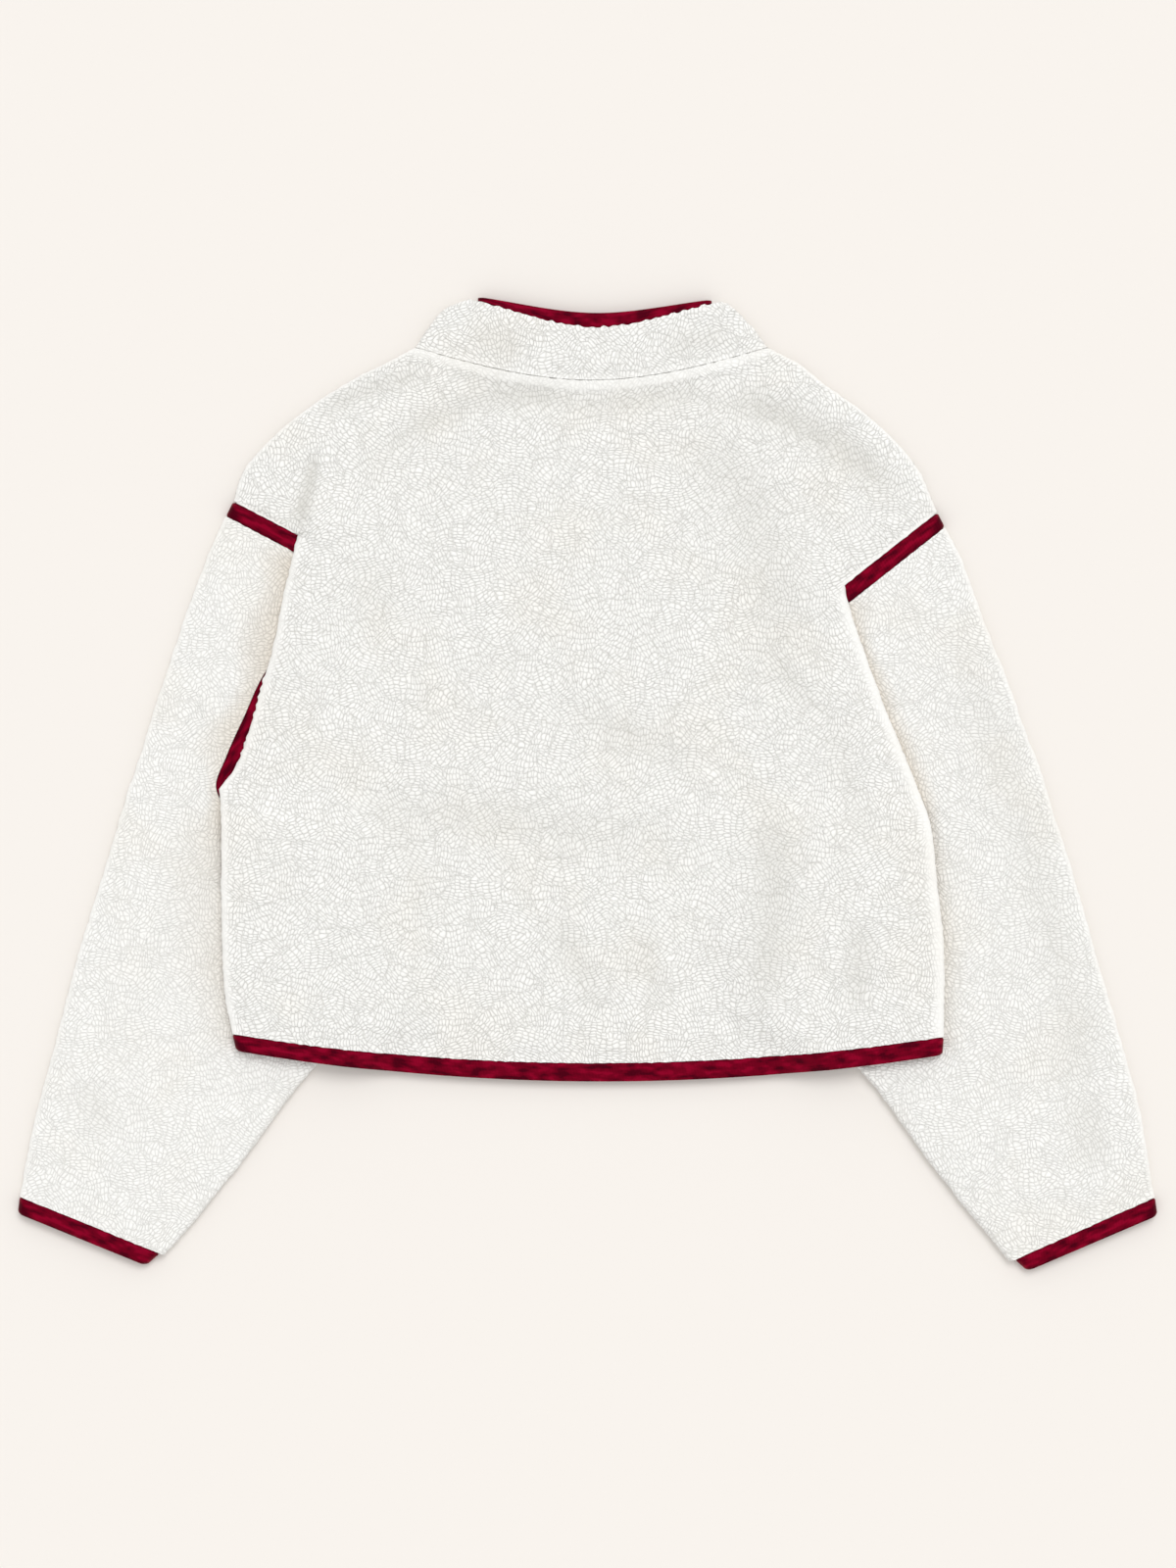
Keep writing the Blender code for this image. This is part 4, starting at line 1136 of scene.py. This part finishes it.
def sleeve_marks(outer, cuts, side):
    """Where the sleeve's pile is combed and painted lighter, where it lies in the body's painted shade, and
    where shade is painted in its troughs.
    """
    steps = np.linalg.norm(np.diff(cuts, axis=1, prepend=cuts[:, :1]), axis=2)
    from_seam = np.cumsum(steps, axis=1)
    fold_column = SLEEVE_UPPER + ARC_STEPS * 2
    from_fold = np.abs(from_seam - from_seam[:, [fold_column]])
    return {"combed_and_lit": np.maximum(round_the_fold(from_fold, SLEEVE_FOLD_COMBED_LIT), SLEEVE_COMBED[side]),
            "shade": beside_body(outer, side),
            "trough_shade": trough_shade(outer, SLEEVE_CREASES)}


def make_sleeve(side):
    rows = sleeve_rows(side)
    last = len(rows) - 1
    loft = sleeve_loft(side)
    outer_rows, inner_rows = [], []
    for number, (outer, back, front, turn) in enumerate(rows):
        share = smooth(number / RISE_ROWS) * smooth((last - number) / RISE_ROWS)
        upper = even_path(np.array([back, outer]), SLEEVE_UPPER, FOLD)
        lower = even_path(np.array([outer, front]), SLEEVE_LOWER, FOLD)
        ends = ((turn, FOLD), (1.0, FOLD))

        def height(x, y, run):
            return share * loft(x, y, run)

        outer_rows.append(ring(upper, lower, ends, PLY, WALL, height, level(0.0)))
        inner_rows.append(ring(upper, lower, ends, PLY, WALL, height, level(0.0), side="inner")[0])
    outer, cuts = (np.array(part) for part in zip(*outer_rows))
    inner = np.array(inner_rows)
    outer = relief(outer, cuts, np.full(outer.shape[:2], NO_SEAM))
    marks = sleeve_marks(outer, cuts, side)
    up = RAILS[side]["back_tape_sleeve"][0] - RAILS[side]["back_sleeve"][0]
    down = np.mean(CUFF_END[side], axis=0) - (rows[-1][0] + rows[-1][1]) / 2
    for few, edge, way in ((slice(0, LEAN_ROWS), slice(0, 1), up),
                           (slice(-LEAN_ROWS, None), slice(-1, None), down)):
        run = np.linalg.norm(cuts[few] - cuts[edge], axis=2)
        outer[few] = lean(outer[few], cuts[few], run, (*unit(way), 0.0))
    edges = np.where(np.array([turn < 1.0 for _, _, _, turn in rows])[:, None, None], inner, outer)
    kept = [n for n in range(len(rows)) if n <= TOP_ROWS or (last - n) % (ARM_ROWS // INNER_ROWS) == 0]
    marks = {mark: with_edges(value, value) for mark, value in marks.items()}
    return tube(f"sleeve_{side}_cloth", with_edges(outer, edges), with_edges(cuts, cuts),
                with_edges(inner, inner)[kept], marks)


for side in ("left", "right"):
    sleeve = make_sleeve(side)
    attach(sleeve, "root")
    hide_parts(f"sleeve_{side}")

# %% [markdown]
# ## The collar
#
# The stand collar is a short tube of fleece on the neck seam. Laid flat it narrows upwards, and
# its top hangs in the middle as the neck does.

# %% Lay the collar
COLLAR_UPPER, COLLAR_LOWER, COLLAR_ROWS, COLLAR_INNER = 176, 60, 52, 9
COLLAR_RISE = 12                       # rows from each end over which it rises to its crown
COLLAR_COMBED = (0.3, 4.0)             # how far it is combed flat by the neck seam, and how widely
table = np.array(COLLAR, float)
table[0, [1, 3]] += SEAM_CLOSED
places = np.linspace(0, len(table) - 1, COLLAR_ROWS)
outer_rows, inner_rows = [], []
for number, row in enumerate(curve(table, places)):
    upper = row_path(row[:2], row[2:4], row[4], COLLAR_UPPER, (FOLD, FOLD), row[5])
    lower = row_path(row[:2], row[2:4], row[4], COLLAR_LOWER, (FOLD, FOLD), row[5])[::-1]
    share = smooth(number / COLLAR_RISE) * smooth((COLLAR_ROWS - 1 - number) / COLLAR_RISE)

    def height(x, y, run):
        return COLLAR_CROWN * share * smooth(run / CROWN_RUN)

    ends = ((1.0, FOLD), (1.0, FOLD))
    outer_rows.append(ring(upper, lower, ends, PLY, WALL, height, level(0.0)))
    if number % COLLAR_INNER == 0 or number == COLLAR_ROWS - 1:
        inner_rows.append(ring(upper, lower, ends, PLY, WALL, height, level(0.0), side="inner")[0])
outer, cuts = (np.array(part) for part in zip(*outer_rows))
from_neck = np.cumsum(np.linalg.norm(np.diff(cuts, axis=0, prepend=cuts[:1]), axis=2), axis=0)
outer = relief(outer, cuts, from_neck)
few = slice(-LEAN_ROWS - 1, None)
run = np.linalg.norm(cuts[few] - cuts[-1:], axis=2)
outer[few] = lean(outer[few], cuts[few], run, (0, 1, 0), LEAN_RAGGED)
combed_and_lit = COLLAR_COMBED[0] * round_the_fold(from_neck, COLLAR_COMBED[1])
collar = tube("collar_cloth", outer, cuts, np.array(inner_rows),
              {"combed_and_lit": combed_and_lit, "trough_shade": trough_shade(outer, COLLAR_CREASES)})
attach(collar, "root")
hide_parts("collar")

# %% [markdown]
# ## The tape
#
# One long strip of flat knit binds every edge. Folded over and pressed, it is two layers with soft
# long edges, and it ripples a little along its length where the sewing drew it in. All six tapes
# are made by one function, from the two lines in plan between which each lies.

# %% One tape
TAPE_ROWS, CUFF_TAPE_WIDTH, HEM_TAPE_WIDTH, COLLAR_TAPE_WIDTH = 14, 11.0, 12.0, 9.0
TAPE_DROP, TAPE_EDGE = 0.5, 1.7        # how far its long edges are pressed down, and over what width
TAPE_RIPPLE, TAPE_STEPS = 0.16, 5      # how high it ripples, and the steps round its rolled edges
TAPE_CORNER = 1.8                      # how far its corners are drawn in where it ends on a fold
ripples = waves(seed=21, length=13.0, count=24)


def drawn_in(line, pull):
    """A line in plan with both its ends drawn in."""
    ways = end_ways(line)
    line = line.copy()
    line[0] += ways[0] * pull
    line[-1] += ways[1] * pull
    return line


def make_tape(name, near_line, far_line, near_under, far_under, width, base, columns):
    """A tape between two lines in plan on its upper side, and two on its underside."""
    outer_rows, inner_rows = [], []
    for number, share in enumerate(np.linspace(0, 1, TAPE_ROWS)):
        from_edge = min(share, 1 - share) * width
        press = TAPE_DROP * (1.0 - smooth(from_edge / TAPE_EDGE))
        pull = TAPE_CORNER * max(1.0 - from_edge / TAPE_CORNER, 0.0) ** 2
        radius = (TAPE_PLY - press) / 2
        ends = ((1.0, radius), (1.0, radius))
        upper_line, lower_line = ((1 - share) * near_line + share * far_line,
                                  (1 - share) * near_under + share * far_under)
        upper = even_path(drawn_in(upper_line, pull), columns, TAPE_PLY / 2)
        lower = even_path(drawn_in(lower_line, pull), columns // 3, TAPE_PLY / 2)
        outer_rows.append(ring(upper, lower, ends, TAPE_PLY - press, TAPE_WALL, base, base, steps=TAPE_STEPS))
        if number in (0, TAPE_ROWS // 2, TAPE_ROWS - 1):
            inner_rows.append(ring(upper, lower, ends, TAPE_PLY - press, TAPE_WALL, base, base, "inner",
                                   TAPE_STEPS)[0])
    outer, cuts = (np.array(part) for part in zip(*outer_rows))
    run = np.cumsum(np.linalg.norm(np.diff(outer, axis=1, prepend=outer[:, :1]), axis=2), axis=1)
    cuts = np.stack([run, np.linspace(0, width, TAPE_ROWS)[:, None] * np.ones_like(run)], axis=2)
    rise = outer[..., 2] - base(outer[..., 0], outer[..., 1], 0.0)
    outer[1:-1, :, 2] += TAPE_RIPPLE * (ripples(outer[..., :2]) * smooth(rise / TAPE_PLY))[1:-1]
    piece = tube(name, outer, cuts, np.array(inner_rows), {})
    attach(piece, "root")
    return piece


print("the tape's ripples are up to", TAPE_RIPPLE, "mm high")

# %% [markdown]
# ## Binding the edges
#
# The armhole's tape lies between two of the rails. The other tapes each run along the end of their
# piece, a seam's width below it, and their far edges come from the tables.

# %% Bind the armholes and the cuffs
for side in ("left", "right"):
    lines = {name: rail_line(rail, steps=12) for name, rail in RAILS[side].items()}
    tape = make_tape(f"armhole_tape_{side}", lines["back_tape_body"], lines["back_tape_sleeve"],
                     lines["front_tape_body"][::-1], lines["front_tape_sleeve"][::-1],
                     TAPE, level(0.0), columns=200)
    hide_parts(f"armhole_binding_{side}")

    outer, inner = (np.array(SLEEVE[side][-1], float)[k:k + 2] for k in (0, 2))
    way = unit(inner - outer)
    down = np.array([way[1], -way[0]]) * (1 if way[0] > 0 else -1)
    near = np.array([outer + down * SEAM, inner - way * CUFF_INSET + down * SEAM])
    far = np.array(CUFF_END[side], float)
    tape = make_tape(f"cuff_tape_{side}", near, far, near[::-1], far[::-1],
                     CUFF_TAPE_WIDTH, level(0.0), columns=90)
    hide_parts(f"cuff_binding_{side}")

# %% Bind the hem and the collar
left, right = EDGES["left"]["side"][-1], EDGES["right"]["side"][-1]
near = row_path((left[0], left[1] - SEAM), (right[0], right[1] - SEAM), HEM_DIP, 200, (RIM, RIM))
far = row_path(HEM_TAPE[:2], HEM_TAPE[2:4], HEM_TAPE[4], 200, (RIM, RIM))
tape = make_tape("hem_tape", near, far, near[::-1], far[::-1], HEM_TAPE_WIDTH, front_base, columns=400)
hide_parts("hem_binding")

top = dict(zip(("left_x", "left_y", "right_x", "right_y", "dip", "swoop"), COLLAR[-1]))
far = row_path(COLLAR_TAPE[:2], COLLAR_TAPE[2:4], COLLAR_TAPE[4], 120, (FOLD, FOLD), COLLAR_TAPE[5])
across = (far[:, 0] - top["left_x"]) / (top["right_x"] - top["left_x"])
near_y = top["left_y"] + (top["right_y"] - top["left_y"]) * across - top["dip"] * hang(across, top["swoop"])
near = np.column_stack([far[:, 0], near_y + SEAM])
tape = make_tape("collar_tape", near, far, near[::-1], far[::-1],
                 COLLAR_TAPE_WIDTH, level(0.0), columns=150)
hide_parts("collar_binding")

# %% [markdown]
# ## Floor, camera and light
#
# The pullover lies on pale paper. The camera looks straight down on it from far enough that its
# raised edges don't lean. A broad, nearly frontal sun gives each curl a soft light side, and a bright
# even sky fills the rest, as in a studio with white walls.

# %% Floor and camera
CAMERA_HEIGHT, CLOTH_TOP = 3.0, 0.009  # the frame's height is measured at the top of the cloth
FRAMED = 1600 * 0.72 * MM              # 1600 rows of 0.72 mm, from the frame's top to its bottom
SENSOR = 36.0
bpy.ops.mesh.primitive_plane_add(size=8.0, location=(0, 0, -0.0002))
floor = bpy.context.object
floor.name = "floor"
paper = bpy.data.materials.new("cream paper")
paper.use_nodes = True
plain_inputs(paper.node_tree.nodes["Principled BSDF"], Base_Color=(0.803, 0.768, 0.731, 1.0),
             Roughness=1.0)
floor.data.materials.append(paper)
bpy.ops.object.camera_add(location=(0, 0, CAMERA_HEIGHT), rotation=(0, 0, 0))
camera = bpy.context.object
camera.name = camera.data.name = "camera"
camera.data.sensor_fit = "VERTICAL"
camera.data.sensor_height = SENSOR
camera.data.lens = SENSOR * (CAMERA_HEIGHT - CLOTH_TOP) / FRAMED
bpy.context.scene.camera = camera
print("lens", round(camera.data.lens, 1), "mm")

# %% Light
SUN, SKY = 1.12, 0.875
bpy.ops.object.light_add(type="SUN", rotation=(math.radians(-30), math.radians(11), 0))
sun = bpy.context.object
sun.name = sun.data.name = "sun"
sun.data.energy = SUN
sun.data.angle = math.radians(30)
world = bpy.data.worlds.new("studio")
bpy.context.scene.world = world
world.use_nodes = True
plain_inputs(world.node_tree.nodes["Background"], Color=(1.0, 0.995, 0.985, 1), Strength=SKY)
bpy.context.scene.view_settings.view_transform = "Standard"
print("sun", SUN, "and sky", SKY)
